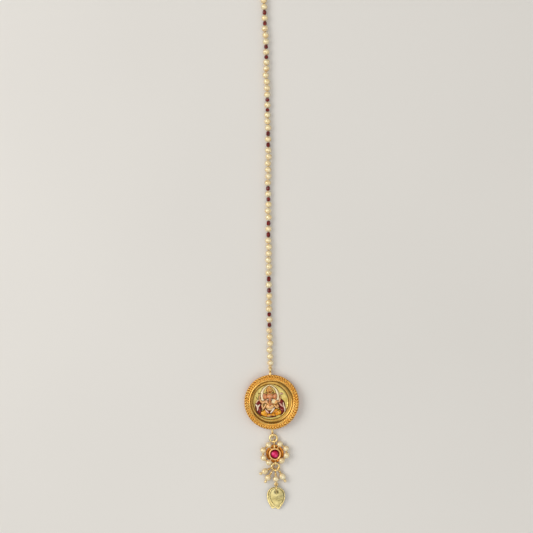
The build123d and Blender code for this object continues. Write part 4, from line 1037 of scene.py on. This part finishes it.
def leaf(name, node, place, wave):
    n = 240
    edge = leaf_outline(n)
    ray = unit(edge)
    R = np.linalg.norm(edge, axis=1)
    T = 0.24

    a, b = edge, np.roll(edge, -1, 0)

    def to_edge(q):
        """Distance from each point to the outline."""
        ab = b - a
        t = np.clip(((q[:, None] - a) * ab).sum(2) / (ab * ab).sum(1), 0, 1)
        return np.linalg.norm(q[:, None] - (a + t[..., None] * ab), axis=2).min(1)

    def height(q, fe, fh):
        """The sheet's rise: a rolled rim, a low lip round the hole, a shallow dish, a soft wave and a fold across it."""
        rim = wave[3] * np.where(fe > 0.22, np.exp(-((fe - 0.22) / 0.24) ** 2), 1.0)
        lip = 0.09 * np.exp(-((fh - 0.15) / 0.16) ** 2)
        u, v = q[:, 0] / 3.0, (q[:, 1] + 2.4) / 4.2
        dish = -0.17 * np.maximum(0.0, 1 - u * u * 0.9 - v * v * 0.8)
        calm = np.maximum(0.0, 1 - u * u) * np.maximum(0.0, 1 - v * v)
        ripple = wave[0] * np.sin((q[:, 1] - 0.22 * q[:, 0]) * 1.75 + wave[1]) * calm
        across = q[:, 1] + 2.95 - 0.16 * q[:, 0]
        fold = wave[2] * np.exp(-(across / 0.55) ** 2) * calm ** 0.5 * (0.6 + 0.4 * np.tanh((q[:, 0] + 0.1) / 0.6))
        return dish + ripple + fold + np.maximum(rim, lip)

    rows_top, rows_low = [], []
    steps = [0.0, 0.006, 0.013, 0.021, 0.03, 0.04, 0.052, 0.066, 0.082, 0.10] + list(np.linspace(0.13, 0.85, 15))
    steps += [0.878, 0.90, 0.918, 0.932, 0.945, 0.957, 0.968, 0.978, 0.986, 0.993, 1.0]
    for s in steps:
        d = HOLE_R + s * (R - HOLE_R)
        q = ray * d[:, None]
        fe = to_edge(q)
        fh = d - HOLE_R
        h = height(q, fe, fh)
        round_e = 0.10 * np.clip(1 - fe / 0.10, 0, 1) ** 2
        round_h = 0.08 * np.clip(1 - fh / 0.08, 0, 1) ** 2
        rows_top.append(np.c_[q, h + T / 2 - round_e - round_h - 0.10])
        rows_low.append(np.c_[q, h * 0.25 - T / 2 + 0.6 * round_e + 0.6 * round_h - 0.02])
    rows = rows_top + rows_low[::-1]
    verts = np.vstack(rows)
    cols = n
    body = Build()
    faces = grid_faces(len(rows), cols, True, True)
    k = len(steps)
    lip_rows = {i for i, s in enumerate(steps) if s >= 0.90}
    flat_faces, lip_faces = [], []
    for r in range(len(rows)):
        part = faces[r * cols:(r + 1) * cols]
        (lip_faces if (r in lip_rows or r == k - 1 or r in (0, 1)) else flat_faces).append(part)
    m = place
    verts = np.array([tuple(m @ Vector(v)) for v in verts])
    body.add(verts, [f for part in flat_faces for f in part], GOLD_PALE)
    base = body.count
    # the lip shares the same vertices, so the sheet stays one closed skin
    # the rolled rim and the hole's lip take the lighter gold, a painted highlight
    body.mats.append(GOLD_PALE_HIGHLIGHT)
    for part in lip_faces:
        body.f.extend(part)
        body.m.extend([1] * len(part))
        body.smooth.extend([True] * len(part))
    return body.make(name, "pale_gold", node)


for name, node, x, y, z, swing, wave in (
        ("leaf_back", "leaf_drop_back", 1.62, -33.16, 1.32, -11.0, (0.04, 1.0, 0.03, 0.05)),
        ("leaf_front", "leaf_drop_front", 1.80, -33.16, 1.86, 5.6, (0.06, 0.6, 0.15, 0.10))):
    place = Matrix.Translation((x, y, z)) @ Matrix.Rotation(math.radians(9.2), 4, "X") @ Matrix.Rotation(math.radians(swing), 4, "Z")
    leaf(name, node, place, wave)

# ------------------------------------------------------------------ floor, light and camera
def area(name, at, look, size, power, colour=(1, 1, 1), size_y=None):
    data = bpy.data.lights.new(name, "AREA")
    data.shape = "RECTANGLE"
    data.size = size
    data.size_y = size_y or size
    data.energy = power
    data.color = colour
    o = bpy.data.objects.new(name, data)
    o.location = at
    o.rotation_euler = (Vector(look) - Vector(at)).to_track_quat("-Z", "Y").to_euler()
    bpy.context.scene.collection.objects.link(o)
    return o


floor_mesh = bpy.data.meshes.new("floor")
floor_mesh.from_pydata([(-3, -3, 0), (3, -3, 0), (3, 3, 0), (-3, 3, 0)], [], [(0, 1, 2, 3)])
floor = bpy.data.objects.new("floor", floor_mesh)
floor.location.z = -0.00002
bpy.context.scene.collection.objects.link(floor)
n = Nodes("floor_pale")
n.link(n.ramp(n.noise(6.0, 2.0), ((0.3, rgb(226, 223, 217)), (0.7, rgb(231, 228, 222)))), n.bsdf.inputs["Base Color"])
n.set(Roughness=0.65)
floor_mesh.materials.append(n.mat)

world = bpy.data.worlds.new("studio")
bpy.context.scene.world = world
world.use_nodes = True
world.node_tree.nodes["Background"].inputs["Color"].default_value = (0.95, 0.97, 1.0, 1)
world.node_tree.nodes["Background"].inputs["Strength"].default_value = 0.28
mid = (0.0, 0.05, 0.0)
area("overhead", (0.12, 0.16, 1.05), (0.0, 0.03, 0.0), 0.80, 2.3, (1.0, 0.985, 0.96), 1.00)
area("key", (-0.60, 0.20, 0.56), mid, 0.70, 3.9, (1.0, 0.97, 0.94), 0.50)
area("fill", (0.68, 0.02, 0.44), mid, 0.60, 0.9, (1.0, 0.95, 0.86))
area("near", (0.12, -0.60, 0.86), mid, 0.60, 1.5, (1.0, 0.98, 0.95), 0.50)

cam_data = bpy.data.cameras.new("camera")
cam = bpy.data.objects.new("camera", cam_data)
bpy.context.scene.collection.objects.link(cam)
bpy.context.scene.camera = cam
TILT = 0.5              # degrees off straight down, from the near side
DIST = 0.45
aim = Vector((-0.001884, 0.050001, 0.001))
cam.location = aim + DIST * Vector((0, -math.sin(math.radians(TILT)), math.cos(math.radians(TILT))))
cam.rotation_euler = (math.radians(TILT), 0, 0)
cam_data.sensor_width = 36
cam_data.lens = 36 * DIST / 0.197307
cam_data.clip_start = 0.01
cam_data.clip_end = 10

view_settings = bpy.context.scene.view_settings
view_settings.view_transform = "Standard"
view_settings.look = "None"
